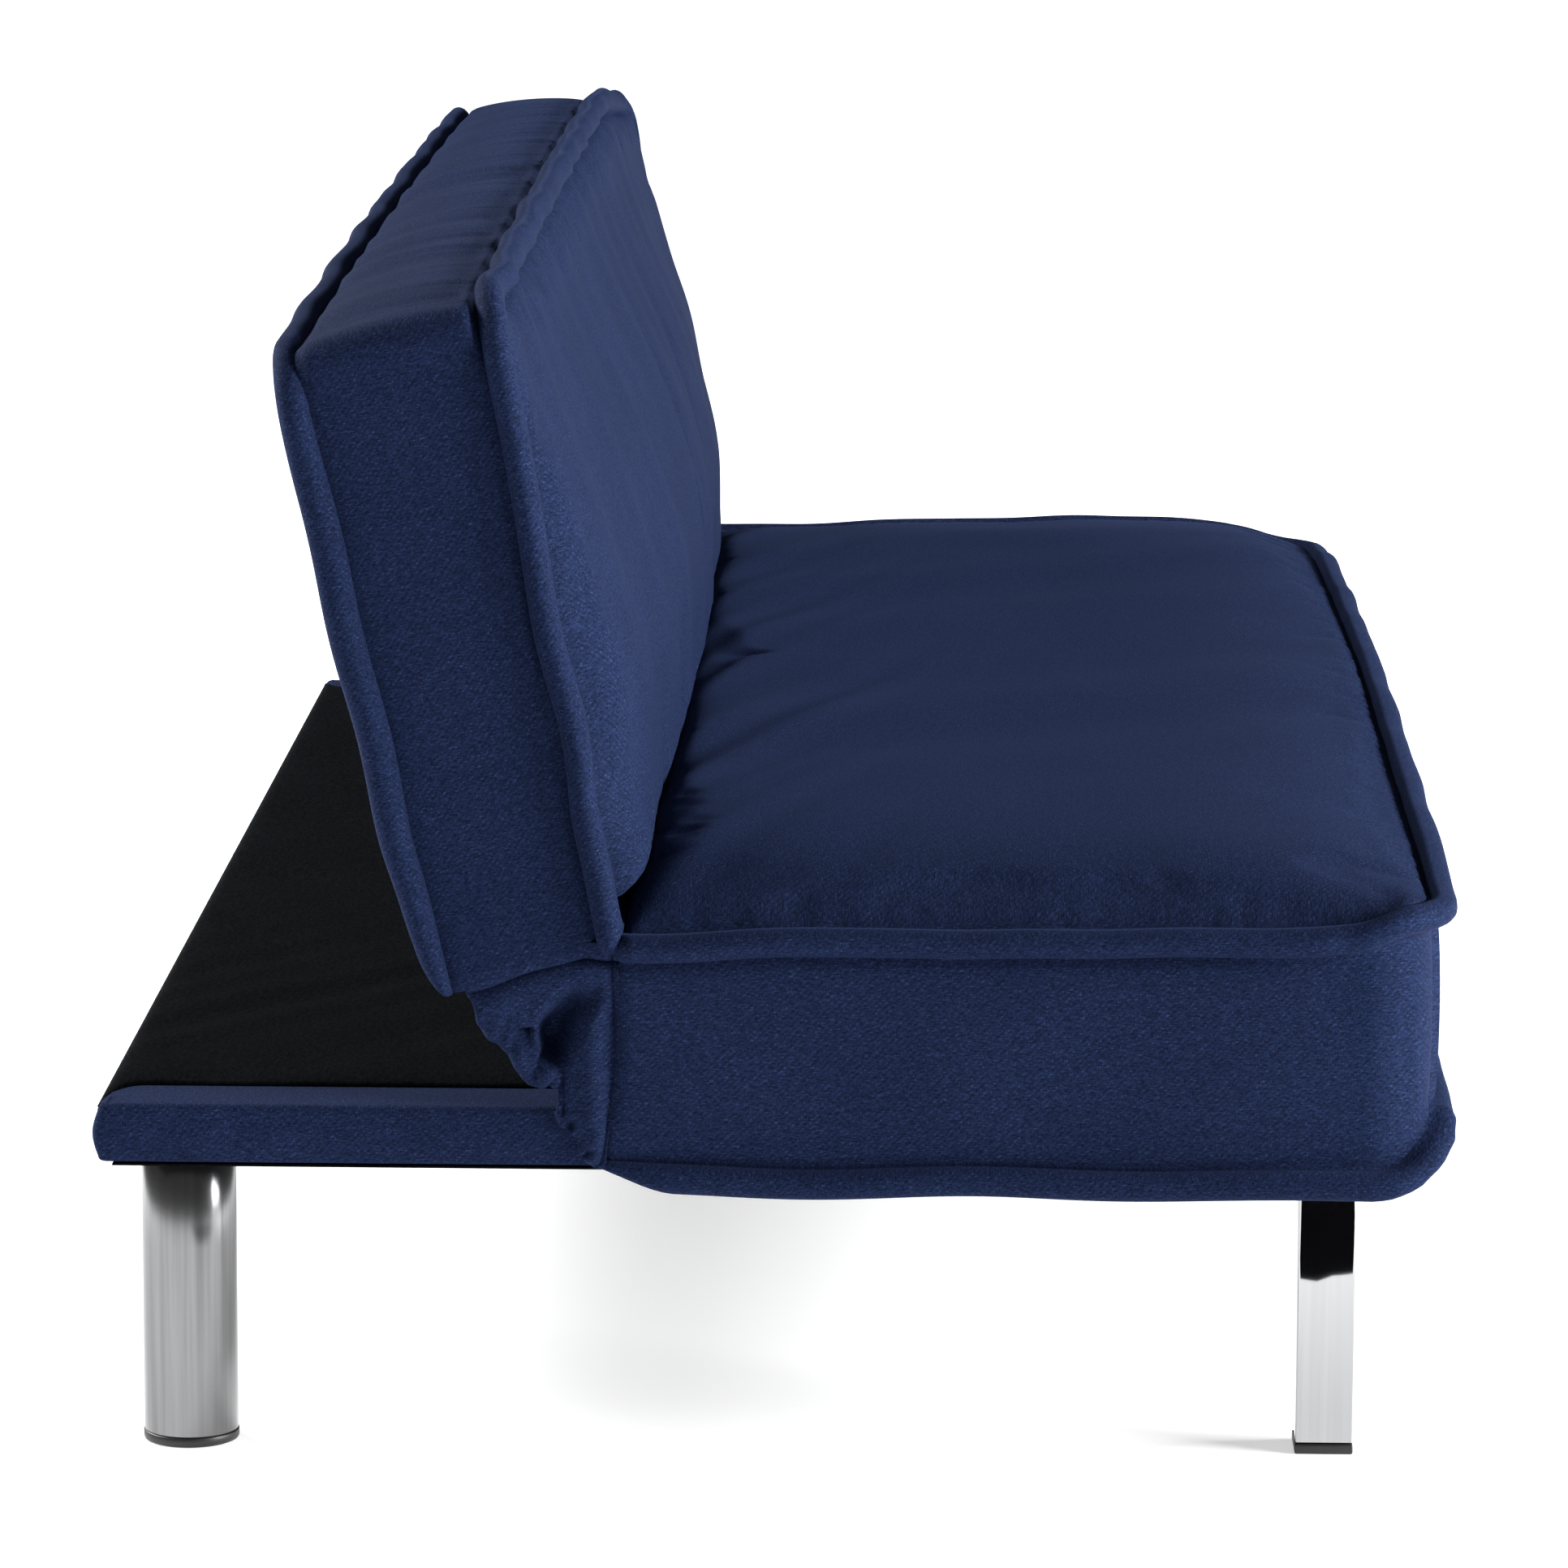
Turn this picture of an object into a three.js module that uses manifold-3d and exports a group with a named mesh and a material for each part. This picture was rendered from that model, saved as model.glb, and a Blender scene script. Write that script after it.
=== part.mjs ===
// Click-clack futon sofa bed: a timber base with a boxed seat cushion and a covered
// platform behind it, and a boxed backrest that reclines onto the platform.
// Millimetres. +X along the sofa's length, -Y to the front, +Z up, origin on the floor.

import * as THREE from 'three';
import { mergeVertices } from 'three/addons/utils/BufferGeometryUtils.js';
import Module from 'manifold-3d';

const wasm = await Module();
wasm.setup();

// ---------------------------------------------------------------- driving dimensions

const LENGTH = 1803;              // flange to flange
const DEPTH = 900;                // seat front flange to platform rear
const HALF = LENGTH / 2;
const FRONT = -DEPTH / 2;
const REAR = DEPTH / 2;

const FIT_GAP = 0.3;              // between pieces that touch
const FLANGE_OUT = 12.5;          // how far a stuffed flange stands out from the boxing
const BOXING_X = HALF - FLANGE_OUT;

const TIMBER = 22;                // thickness of every rail and stile
const RAIL_X = 880;               // outer face of the side rails
const RAIL_Z = [206, 240];        // bottom and top of the base rails
const RAIL_Y = [-398, 446];       // front and rear ends of the base frame
const HINGE_RAIL_Y = [86, 108];   // the cross rail under the crease
const RAIL_INNER = RAIL_X - TIMBER - FIT_GAP;
const BOARD_RECESS = 4;           // the platform board lies this deep between the rails
const SEAT_RAIL_TOP = 286;

const LEG_X = 826;
const REAR_LEG = { y: 395, radius: 31.75, wall: 1.5 };
const FRONT_LEG = { y: -367.5, side: 38.1, wall: 1.5 };
const LEG_TOP = 203.4;
const FOOT = { height: 7, plug: 14, lip: 0.5 };
const PLATE = { size: 68, thickness: 2, z: 203.7 };
const BOLT = { shank: 5, head: 9, headHeight: 6, top: 235 };
const THROUGH_Z = [150, 270];     // a tool longer than any piece that it cuts along Z
const THROUGH_X = [830, 860];     // the same along X, at the right hinge

const SEAT_REAR = 105;
const PIVOT = { y: 145, z: 347 }; // recline axis, parallel to X
const BRACKET_X = [838, 842];     // steel plates of the hinge
const ARM_X = [843.7, 847.7];

// backrest frame: local Z runs up the backrest, local Y runs to its rear
const BACK_LEAN = THREE.MathUtils.degToRad(13.2);
const BACK_FOOT = { y: 117, z: 343 };
const BACK_TAPER = 0.042;         // the front seam plane leans this much further forward
const BACK_FRAME_T = [50, 95];    // the frame timbers, front and rear, in local Y

// ---------------------------------------------------------------- materials

const material = (color, roughness, metalness = 0) =>
  new THREE.MeshStandardMaterial({ color, roughness, metalness });

const NAVY = material(0x27345c, 0.9);
const BLACK_CLOTH = material(0x17181b, 0.95);
const PINE = material(0xc9a673, 0.75);
const BOARD = material(0x8a6238, 0.8);
const CHROME = material(0xcfd2d4, 0.12, 1);
const ZINC = material(0x9aa0a4, 0.4, 1);
const SPRING_STEEL = material(0x4a4d50, 0.45, 1);
const BLACK_PLASTIC = material(0x16171a, 0.5);

// ---------------------------------------------------------------- shape helpers

const sofa = new THREE.Group();
const backrest = new THREE.Group();
backrest.position.set(0, BACK_FOOT.y, BACK_FOOT.z);
backrest.rotation.x = -BACK_LEAN;
sofa.add(backrest);

function add(name, geometry, finish, group = sofa) {
  const mesh = new THREE.Mesh(geometry, finish);
  mesh.name = name;
  group.add(mesh);
  return mesh;
}

// a box from [low, high] pairs along X, Y and Z
function block(x, y, z) {
  const geometry = new THREE.BoxGeometry(x[1] - x[0], y[1] - y[0], z[1] - z[0]);
  return geometry.translate((x[0] + x[1]) / 2, (y[0] + y[1]) / 2, (z[0] + z[1]) / 2);
}

function toSolid(geometry) {
  const bare = geometry.clone();
  bare.deleteAttribute('normal');
  bare.deleteAttribute('uv');
  const merged = mergeVertices(bare, 1e-4);
  return new wasm.Manifold(new wasm.Mesh({
    numProp: 3,
    vertProperties: new Float32Array(merged.attributes.position.array),
    triVerts: new Uint32Array(merged.index.array),
  }));
}

function toGeometry(solid) {
  const mesh = solid.getMesh();
  const geometry = new THREE.BufferGeometry();
  geometry.setAttribute('position', new THREE.BufferAttribute(mesh.vertProperties, 3));
  geometry.setIndex(new THREE.BufferAttribute(mesh.triVerts, 1));
  return geometry;
}

function cut(geometry, ...tools) {
  return toGeometry(tools.reduce((left, tool) => left.subtract(toSolid(tool)), toSolid(geometry)));
}

function join(...geometries) {
  return toGeometry(geometries.map(toSolid).reduce((sum, next) => sum.add(next)));
}

function outline(points) {
  return new THREE.Shape(points.map(([a, b]) => new THREE.Vector2(a, b)));
}

// a plate in the YZ plane, from x[0] to x[1], from a shape drawn in (y, z)
function plateYZ(shape, x) {
  const geometry = new THREE.ExtrudeGeometry(shape, {
    depth: x[1] - x[0], bevelEnabled: false, curveSegments: 10,
  });
  const axes = new THREE.Matrix4().makeBasis(
    new THREE.Vector3(0, 1, 0), new THREE.Vector3(0, 0, 1), new THREE.Vector3(1, 0, 0));
  return geometry.applyMatrix4(axes).translate(x[0], 0, 0);
}

function cylinderZ(radius, z, x, y, segments = 32) {
  const geometry = new THREE.CylinderGeometry(radius, radius, z[1] - z[0], segments);
  return geometry.rotateX(Math.PI / 2).translate(x, y, (z[0] + z[1]) / 2);
}

function cylinderX(radius, x, y, z, segments = 24) {
  const geometry = new THREE.CylinderGeometry(radius, radius, x[1] - x[0], segments);
  return geometry.rotateZ(Math.PI / 2).translate((x[0] + x[1]) / 2, y, z);
}

// one loop of a rounded rectangle; place(a, b) puts it in space
function roundedLoop({ halfWidth, low, high, lowRadius, highRadius }, place) {
  const steps = 5;
  const corners = [
    [halfWidth - lowRadius, low + lowRadius, lowRadius, -90],
    [halfWidth - highRadius, high - highRadius, highRadius, 0],
    [-halfWidth + highRadius, high - highRadius, highRadius, 90],
    [-halfWidth + lowRadius, low + lowRadius, lowRadius, 180],
  ];
  return corners.flatMap(([a, b, radius, start]) =>
    Array.from({ length: steps + 1 }, (_, i) => {
      const angle = THREE.MathUtils.degToRad(start + (90 * i) / steps);
      return place(a + radius * Math.cos(angle), b + radius * Math.sin(angle));
    }));
}

// a closed solid through a stack of loops with the same number of points
function loft(loops) {
  const count = loops[0].length;
  const points = loops.flat();
  const triangles = [];
  for (let row = 0; row + 1 < loops.length; row += 1) {
    for (let i = 0; i < count; i += 1) {
      const a = row * count + i;
      const b = row * count + ((i + 1) % count);
      triangles.push(a, b, b + count, a, b + count, a + count);
    }
  }
  const closeEnd = (start, flip) => {
    const centre = new THREE.Vector3();
    points.slice(start, start + count).forEach((p) => centre.add(p));
    points.push(centre.divideScalar(count));
    for (let i = 0; i < count; i += 1) {
      const edge = [start + i, start + ((i + 1) % count)];
      triangles.push(points.length - 1, ...(flip ? edge.reverse() : edge));
    }
  };
  const lastStart = (loops.length - 1) * count;
  closeEnd(0, true);
  closeEnd(lastStart, false);
  const geometry = new THREE.BufferGeometry().setFromPoints(points);
  geometry.setIndex(triangles);
  return geometry;
}

// reflects a geometry across X = 0 and turns its faces the right way out again
function mirrorX(geometry) {
  const flipped = geometry.clone().scale(-1, 1, 1);
  const source = flipped.index ? flipped : mergeVertices(flipped);
  const index = source.index.array;
  for (let i = 0; i < index.length; i += 3) {
    [index[i + 1], index[i + 2]] = [index[i + 2], index[i + 1]];
  }
  return source;
}

// calls make(suffix, side) for the left (-X) and right (+X) copy of a piece
function bothSides(make) {
  make('left', -1);
  make('right', 1);
}

// an [low, high] pair along X, mirrored to the given side
const onSide = (side, [low, high]) => (side > 0 ? [low, high] : [-high, -low]);

// ---------------------------------------------------------------- base frame

function addBaseFrame() {
  const across = [-RAIL_INNER, RAIL_INNER];
  bothSides((name, side) => {
    add(`rail_${name}`, block(onSide(side, [RAIL_X - TIMBER, RAIL_X]), RAIL_Y, RAIL_Z), PINE);
  });
  add('rail_front', block(across, [RAIL_Y[0], RAIL_Y[0] + TIMBER], RAIL_Z), PINE);
  add('rail_rear', block(across, [RAIL_Y[1] - TIMBER, RAIL_Y[1]], RAIL_Z), PINE);
  add('rail_hinge', block(across, HINGE_RAIL_Y, RAIL_Z), PINE);
  const stringer = [-TIMBER / 2, TIMBER / 2];
  const stringerZ = [RAIL_Z[0], RAIL_Z[1] - BOARD_RECESS];
  const seatSpan = [RAIL_Y[0] + TIMBER + FIT_GAP, HINGE_RAIL_Y[0] - FIT_GAP];
  const platformSpan = [HINGE_RAIL_Y[1] + FIT_GAP, RAIL_Y[1] - TIMBER - FIT_GAP];
  add('stringer_seat', block(stringer, seatSpan, RAIL_Z), PINE);
  add('stringer_platform', block(stringer, platformSpan, stringerZ), PINE);
}

// where each leg stands, and the corner block above it
const LEG_PLACES = [
  { name: 'rear', y: REAR_LEG.y, blockY: [360, RAIL_Y[1] - TIMBER - FIT_GAP] },
  { name: 'front', y: FRONT_LEG.y, blockY: [RAIL_Y[0] + TIMBER + FIT_GAP, -318] },
];
const BLOCK_X = [791, RAIL_INNER];

function addLegMounts() {
  const half = PLATE.size / 2;
  for (const place of LEG_PLACES) {
    bothSides((name, side) => {
      const x = side * LEG_X;
      const hole = cylinderZ(BOLT.shank + FIT_GAP, THROUGH_Z, x, place.y);
      const timber = block(onSide(side, BLOCK_X), place.blockY,
        [RAIL_Z[0], RAIL_Z[1] - BOARD_RECESS]);
      add(`leg_block_${place.name}_${name}`, cut(timber, hole), PINE);
      const steel = block([x - half, x + half], [place.y - half, place.y + half],
        [PLATE.z, PLATE.z + PLATE.thickness]);
      add(`leg_plate_${place.name}_${name}`, cut(steel, hole), ZINC);
      const headTop = PLATE.z - FIT_GAP;
      const head = cylinderZ(BOLT.head, [headTop - BOLT.headHeight, headTop], x, place.y, 6);
      const shank = cylinderZ(BOLT.shank, [headTop - 1, BOLT.top], x, place.y, 16);
      add(`leg_bolt_${place.name}_${name}`, join(head, shank), ZINC);
    });
  }
}

function addLegs() {
  const { radius, wall } = REAR_LEG;
  const half = FRONT_LEG.side / 2;
  const tubeZ = [FOOT.height + FIT_GAP, LEG_TOP];
  const boreZ = [0, LEG_TOP + 1];
  const plugZ = [FOOT.height - 1, FOOT.height + FOOT.plug];
  const plugGap = wall + FIT_GAP;
  bothSides((name, side) => {
    const x = side * LEG_X;
    const tube = cylinderZ(radius, tubeZ, x, REAR_LEG.y, 48);
    const bore = cylinderZ(radius - wall, boreZ, x, REAR_LEG.y, 48);
    add(`leg_rear_${name}`, cut(tube, bore), CHROME);
    const disc = cylinderZ(radius + FOOT.lip, [0, FOOT.height], x, REAR_LEG.y, 48);
    const plug = cylinderZ(radius - plugGap, plugZ, x, REAR_LEG.y, 48);
    add(`foot_rear_${name}`, join(disc, plug), BLACK_PLASTIC);

    const square = (grow, z) => block([x - half - grow, x + half + grow],
      [FRONT_LEG.y - half - grow, FRONT_LEG.y + half + grow], z);
    add(`leg_front_${name}`, cut(square(0, tubeZ), square(-wall, boreZ)), CHROME);
    add(`foot_front_${name}`,
      join(square(FOOT.lip, [0, FOOT.height]), square(-plugGap, plugZ)), BLACK_PLASTIC);
  });
}

// ---------------------------------------------------------------- platform

const TRIM = { outer: 884, top: 242, bottom: 204, strip: 64, hem: 16 };
const CLOTH = { x: 827, y: [112, REAR - 1], z: [242.3, 244] };
const DUST_CLOTH = { x: 874, y: [-394, 440], z: [202.3, 203.4], legGap: 1 };

function addPlatform() {
  add('platform_board',
    block([-RAIL_INNER, RAIL_INNER], [HINGE_RAIL_Y[1] + FIT_GAP, RAIL_Y[1] - TIMBER - FIT_GAP],
      [RAIL_Z[1] - BOARD_RECESS + FIT_GAP, RAIL_Z[1]]), BOARD);
  add('platform_cloth', block([-CLOTH.x, CLOTH.x], CLOTH.y, CLOTH.z), BLACK_CLOTH);

  const front = HINGE_RAIL_Y[1];
  const rail = RAIL_X + FIT_GAP;
  const wrap = cut(
    block([-TRIM.outer, TRIM.outer], [front, REAR], [TRIM.bottom, TRIM.top]),
    block([-rail, rail], [front - 1, RAIL_Y[1] + FIT_GAP],
      [RAIL_Z[0] - FIT_GAP, RAIL_Z[1] + FIT_GAP]),
    block([-TRIM.outer + TRIM.strip, TRIM.outer - TRIM.strip],
      [front - 1, REAR - TRIM.strip], [RAIL_Z[1] - 1, TRIM.top + 1]),
    block([-rail + TRIM.hem, rail - TRIM.hem],
      [front - 1, RAIL_Y[1] - TRIM.hem], [TRIM.bottom - 1, RAIL_Z[0] + 1]));
  add('platform_trim', wrap, NAVY);
}

function addDustCloth() {
  const sheet = block([-DUST_CLOTH.x, DUST_CLOTH.x], DUST_CLOTH.y, DUST_CLOTH.z);
  const half = FRONT_LEG.side / 2 + DUST_CLOTH.legGap;
  const holes = [-LEG_X, LEG_X].flatMap((x) => [
    cylinderZ(REAR_LEG.radius + DUST_CLOTH.legGap, THROUGH_Z, x, REAR_LEG.y, 32),
    block([x - half, x + half], [FRONT_LEG.y - half, FRONT_LEG.y + half], THROUGH_Z),
  ]);
  add('dust_cloth', cut(sheet, ...holes), BLACK_CLOTH);
}

// ---------------------------------------------------------------- seat

const SEAT_RAIL_REAR_Y = [64, 86];
const SPRING_X = [-430, 0, 430];
const SPRING = { wire: 1.8, width: 50, stepsPerBend: 6, clear: 2.3 };

function addSeatFrame() {
  const z = [RAIL_Z[1] + FIT_GAP, SEAT_RAIL_TOP];
  const across = [-RAIL_INNER, RAIL_INNER];
  const frontY = [RAIL_Y[0], RAIL_Y[0] + TIMBER];
  bothSides((name, side) => {
    add(`seat_rail_${name}`,
      block(onSide(side, [RAIL_X - TIMBER, RAIL_X]), [RAIL_Y[0], SEAT_RAIL_REAR_Y[1]], z), PINE);
  });
  add('seat_rail_front', block(across, frontY, z), PINE);
  add('seat_rail_rear', block(across, SEAT_RAIL_REAR_Y, z), PINE);
}

// a sinuous spring: wire in even bends from `start` to `end`; place(across, along) is in space
function sinuousSpring([start, end], bends, place) {
  const curve = new THREE.Curve();
  curve.getPoint = (t, target = new THREE.Vector3()) => {
    const across = (SPRING.width / 2) * Math.sin(t * bends * Math.PI);
    return target.copy(place(across, THREE.MathUtils.lerp(start, end, t)));
  };
  const section = new THREE.Shape().absarc(0, 0, SPRING.wire, 0, 2 * Math.PI);
  return new THREE.ExtrudeGeometry(section, {
    extrudePath: curve, steps: bends * SPRING.stepsPerBend, curveSegments: 3, bevelEnabled: false,
  });
}

function addSeatSprings() {
  const height = SEAT_RAIL_TOP + SPRING.clear;
  const span = [RAIL_Y[0] + 8, SEAT_RAIL_REAR_Y[1] - 8];
  SPRING_X.forEach((x, i) => {
    const spring = sinuousSpring(span, 10,
      (across, along) => new THREE.Vector3(x + across, along, height));
    add(`seat_spring_${i + 1}`, spring, SPRING_STEEL);
  });
}

// the hinge gap: a slot through the rear of the seat and the foot of the backrest
const SLOT_X = [832, 856];
const SKIRT = 5;                  // the cover's thickness round the room for the frame

// the stuffed flanges round the seat's bottom and top edges, and where its crown ends
const SEAT_FLANGE_Z = [[188, 200], [350, 362]];
const SEAT_CROWN_Z = 407;
const SEAM_STEP = 4;              // a flange narrows to its seam over this height

function addSeatCushion() {
  const boxing = { halfWidth: BOXING_X, low: FRONT + FLANGE_OUT + 1.5, lowRadius: 52 };
  const seam = { halfWidth: BOXING_X + 3, low: FRONT + 10, lowRadius: 55 };
  const flange = { halfWidth: HALF, low: FRONT, lowRadius: 62 };
  const crown = (inset, drop) => ({
    halfWidth: BOXING_X - inset, low: boxing.low + inset, high: SEAT_REAR - drop,
    lowRadius: 60, highRadius: 30,
  });
  const edge = ([bottom, top]) => [
    [bottom - SEAM_STEP, seam], [bottom, flange], [top, flange], [top + SEAM_STEP, seam],
  ];
  const [low, high] = SEAT_FLANGE_Z;
  const rows = [
    ...edge(low), [low[1] + 2 * SEAM_STEP, boxing], [high[0] - 2 * SEAM_STEP, boxing], ...edge(high),
    [SEAT_CROWN_Z - 42, crown(8, 2)], [SEAT_CROWN_Z - 29, crown(22, 10)],
    [SEAT_CROWN_Z - 15, crown(60, 34)], [SEAT_CROWN_Z - 6, crown(120, 70)],
    [SEAT_CROWN_Z, crown(200, 130)],
  ];
  const body = loft(rows.map(([z, row]) => roundedLoop(
    { high: SEAT_REAR, highRadius: 4, ...row }, (x, y) => new THREE.Vector3(x, y, z))));

  // the room for the frame, open below, and at the rear for the hinge rail and the hinges
  const room = {
    halfWidth: BOXING_X - SKIRT, low: boxing.low + SKIRT, lowRadius: boxing.lowRadius - SKIRT,
    high: SEAT_RAIL_REAR_Y[1] + 2, highRadius: 4,
  };
  const frameRoom = loft([THROUGH_Z[0], SEAT_RAIL_TOP + 10].map((z) =>
    roundedLoop(room, (x, y) => new THREE.Vector3(x, y, z))));
  const openRear = [room.high - 8, SEAT_REAR + 5];
  const railRoom = block([-RAIL_X - SKIRT, RAIL_X + SKIRT], openRear, [THROUGH_Z[0], RAIL_Z[1] + 5]);
  const slots = [-1, 1].map((side) =>
    block(onSide(side, SLOT_X), [room.high - 3, openRear[1]], [RAIL_Z[0], PIVOT.z + 38]));
  add('seat_cushion', cut(body, frameRoom, railRoom, ...slots), NAVY);
}

// ---------------------------------------------------------------- hinge

const PAWL = { y: 117.5, z: 312, bore: 3.2, tail: 6.5, nose: 1.5, clear: 0.5 };
const RATCHET = { root: 20, tip: 24, teeth: 12, bore: 5.2 };
const BRACKET = { neck: 13, ear: 8, foot: 15, footThickness: 3.5, z: [246, 285] };
const PIN_HEAD = 3;               // a pin's head is this thick, and this much wider than the pin

const rodX = (x, place, radius) => cylinderX(radius, x, place.y, place.z);

// the bracket's outline: a foot on the seat rail, an ear for the pawl and an eye for the pin
function bracketOutline(mountY) {
  const edgeY = mountY + 18;
  const web = new THREE.Shape();
  web.moveTo(mountY, BRACKET.z[0]);
  web.lineTo(edgeY, BRACKET.z[0]);
  web.lineTo(edgeY, PAWL.z - 12);
  web.lineTo(PAWL.y + BRACKET.ear, PAWL.z - 9);
  web.lineTo(PAWL.y + BRACKET.ear, PAWL.z + 10);
  web.lineTo(edgeY, PIVOT.z - BRACKET.neck);
  web.lineTo(PIVOT.y, PIVOT.z - BRACKET.neck);
  web.absarc(PIVOT.y, PIVOT.z, BRACKET.neck, -Math.PI / 2, Math.PI / 2);
  web.lineTo(mountY, PIVOT.z + 4);
  return web;
}

function bracketGeometry() {
  const mountY = SEAT_RAIL_REAR_Y[1] + FIT_GAP;
  const foot = block([BRACKET_X[0], BRACKET_X[0] + BRACKET.foot],
    [mountY, mountY + BRACKET.footThickness], BRACKET.z);
  const plate = cut(join(plateYZ(bracketOutline(mountY), BRACKET_X), foot),
    rodX(THROUGH_X, PIVOT, RATCHET.bore));
  return join(plate, rodX([BRACKET_X[0], ARM_X[1] + 1], PAWL, PAWL.bore - FIT_GAP));
}

function pinGeometry() {
  const radius = RATCHET.bore - FIT_GAP;
  const headEnd = BRACKET_X[0] - FIT_GAP;
  return join(
    rodX([headEnd - PIN_HEAD, headEnd], PIVOT, radius + PIN_HEAD),
    rodX([headEnd - 1, ARM_X[1] + 2], PIVOT, radius));
}

// the pawl turns on the bracket's stud and points at the ratchet, just clear of its teeth
function pawlGeometry() {
  const toPivot = new THREE.Vector2(PIVOT.y - PAWL.y, PIVOT.z - PAWL.z);
  const reach = toPivot.length() - RATCHET.tip - PAWL.clear;
  const nose = new THREE.Shape();
  nose.absarc(0, 0, PAWL.tail, Math.PI / 2, -Math.PI / 2);
  nose.lineTo(reach, -PAWL.nose);
  nose.lineTo(reach, PAWL.nose);
  const plate = plateYZ(nose, ARM_X).rotateX(toPivot.angle()).translate(0, PAWL.y, PAWL.z);
  return cut(plate, rodX(THROUGH_X, PAWL, PAWL.bore));
}

function addHingeBase() {
  const pieces = { hinge_bracket: bracketGeometry(), hinge_pin: pinGeometry(), pawl: pawlGeometry() };
  for (const [piece, geometry] of Object.entries(pieces)) {
    bothSides((name, side) => {
      add(`${piece}_${name}`, side > 0 ? geometry : mirrorX(geometry), ZINC);
    });
  }
}

// the hinge arm: a toothed disc round the pivot with a blade that runs up beside the stile
function addHingeArms() {
  const turned = new THREE.Vector3(0, PIVOT.y - BACK_FOOT.y, PIVOT.z - BACK_FOOT.z)
    .applyAxisAngle(new THREE.Vector3(1, 0, 0), BACK_LEAN);
  const centre = { y: turned.y, z: turned.z };
  const rim = (radius, angle) =>
    [centre.y + radius * Math.cos(angle), centre.z + radius * Math.sin(angle)];
  const disc = outline(Array.from({ length: RATCHET.teeth }, (_, i) => {
    const start = (2 * Math.PI * i) / RATCHET.teeth;
    return [rim(RATCHET.tip, start), rim(RATCHET.tip, start + 0.16), rim(RATCHET.root, start + 0.34)];
  }).flat());
  const bladeT = [BACK_FRAME_T[0] + 4, BACK_FRAME_T[0] + 26];
  const blade = outline([
    [centre.y - 8, centre.z + 8], [centre.y + 12, centre.z],
    [bladeT[1], 66], [bladeT[1], 130], [bladeT[0], 130],
  ]);
  const arm = cut(join(plateYZ(disc, ARM_X), plateYZ(blade, ARM_X)),
    rodX(THROUGH_X, centre, RATCHET.bore));
  bothSides((name, side) => {
    add(`hinge_arm_${name}`, side > 0 ? arm : mirrorX(arm), ZINC, backrest);
  });
}

// ---------------------------------------------------------------- backrest

const STILE_X = [848, 870];
const BACK_RAIL_X = [-843, 843];
const BACK_ROOM_W = [10, 426];    // the room inside the cover, along local Z

function addBackFrame() {
  const stileZ = [12, 424];
  const bottomZ = [14, 36];
  const topZ = [402, 424];
  bothSides((name, side) => {
    add(`back_stile_${name}`, block(onSide(side, STILE_X), BACK_FRAME_T, stileZ), PINE, backrest);
  });
  add('back_rail_bottom', block(BACK_RAIL_X, BACK_FRAME_T, bottomZ), PINE, backrest);
  add('back_rail_top', block(BACK_RAIL_X, BACK_FRAME_T, topZ), PINE, backrest);
  add('back_stile_centre', block([-TIMBER / 2, TIMBER / 2], BACK_FRAME_T,
    [bottomZ[1] + FIT_GAP, topZ[0] - FIT_GAP]), PINE, backrest);
  SPRING_X.forEach((x, i) => {
    const spring = sinuousSpring([bottomZ[0] + 6, topZ[1] - 6], 8,
      (across, along) => new THREE.Vector3(x + across, BACK_FRAME_T[0] - SPRING.clear, along));
    add(`back_spring_${i + 1}`, spring, SPRING_STEEL, backrest);
  });
}

function addBackCushion() {
  const row = (t, out, low, high) => ({
    t, loop: { halfWidth: BOXING_X + out, low, high, lowRadius: 20, highRadius: 45 },
  });
  const crown = (t, inset, low) => ({
    t, loop: {
      halfWidth: BOXING_X - inset, low, high: 438 - inset * 0.7, lowRadius: 40, highRadius: 60,
    },
  });
  // from the rear flange to the front crown; the foot is cut back to clear the seat
  const rows = [
    row(118, 3, 3, 444), row(115, FLANGE_OUT, 3, 456), row(103, FLANGE_OUT, 3, 456),
    row(99, 3, 3, 444), row(95, 0, 3, 438), row(4, 0, 3, 442), row(0, 3, 3, 450),
    row(-4, FLANGE_OUT, 3, 462), row(-12, FLANGE_OUT, 16, 462), row(-16, FLANGE_OUT, 32, 460),
    row(-20, 3, 39, 452), crown(-18, 6, 43), crown(-34, 22, 61), crown(-52, 60, 88),
    crown(-63, 120, 116), crown(-68, 200, 162),
  ];
  // the front rows lean with the taper; the rear rows are square to the frame
  const squareFrom = BACK_FRAME_T[1];
  const body = loft(rows.map(({ t, loop }) => roundedLoop(loop, (x, w) => {
    const share = THREE.MathUtils.clamp((squareFrom - t) / squareFrom, 0, 1);
    return new THREE.Vector3(x, t - share * BACK_TAPER * w, w);
  })));
  const roomX = STILE_X[1] + 2;
  const frameRoom = block([-roomX, roomX], [38, 130], BACK_ROOM_W);
  const slots = [-1, 1].flatMap((side) => {
    const x = onSide(side, SLOT_X);
    return [block(x, [-60, 60], [-20, 38]), block(x, [12, 60], [30, 100])];
  });
  add('back_cushion', cut(body, frameRoom, ...slots), NAVY, backrest);
  const panel = block([-roomX + FIT_GAP, roomX - FIT_GAP], [BACK_FRAME_T[1] + FIT_GAP, 102],
    [BACK_ROOM_W[0] + FIT_GAP, BACK_ROOM_W[1] - FIT_GAP]);
  add('back_panel', panel, NAVY, backrest);
}

// ---------------------------------------------------------------- fabric across the hinge

// the gathered side panel between seat, backrest and platform, in (y, z)
const GUSSET = [
  [107.5, 206], [112, 206], [138, 246], [163, 266], [188, 292], [199, 315],
  [118, 337], [107.5, 337],
];
const CURTAIN = [[128, 246], [131, 246], [200, 313], [197, 314]];

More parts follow.
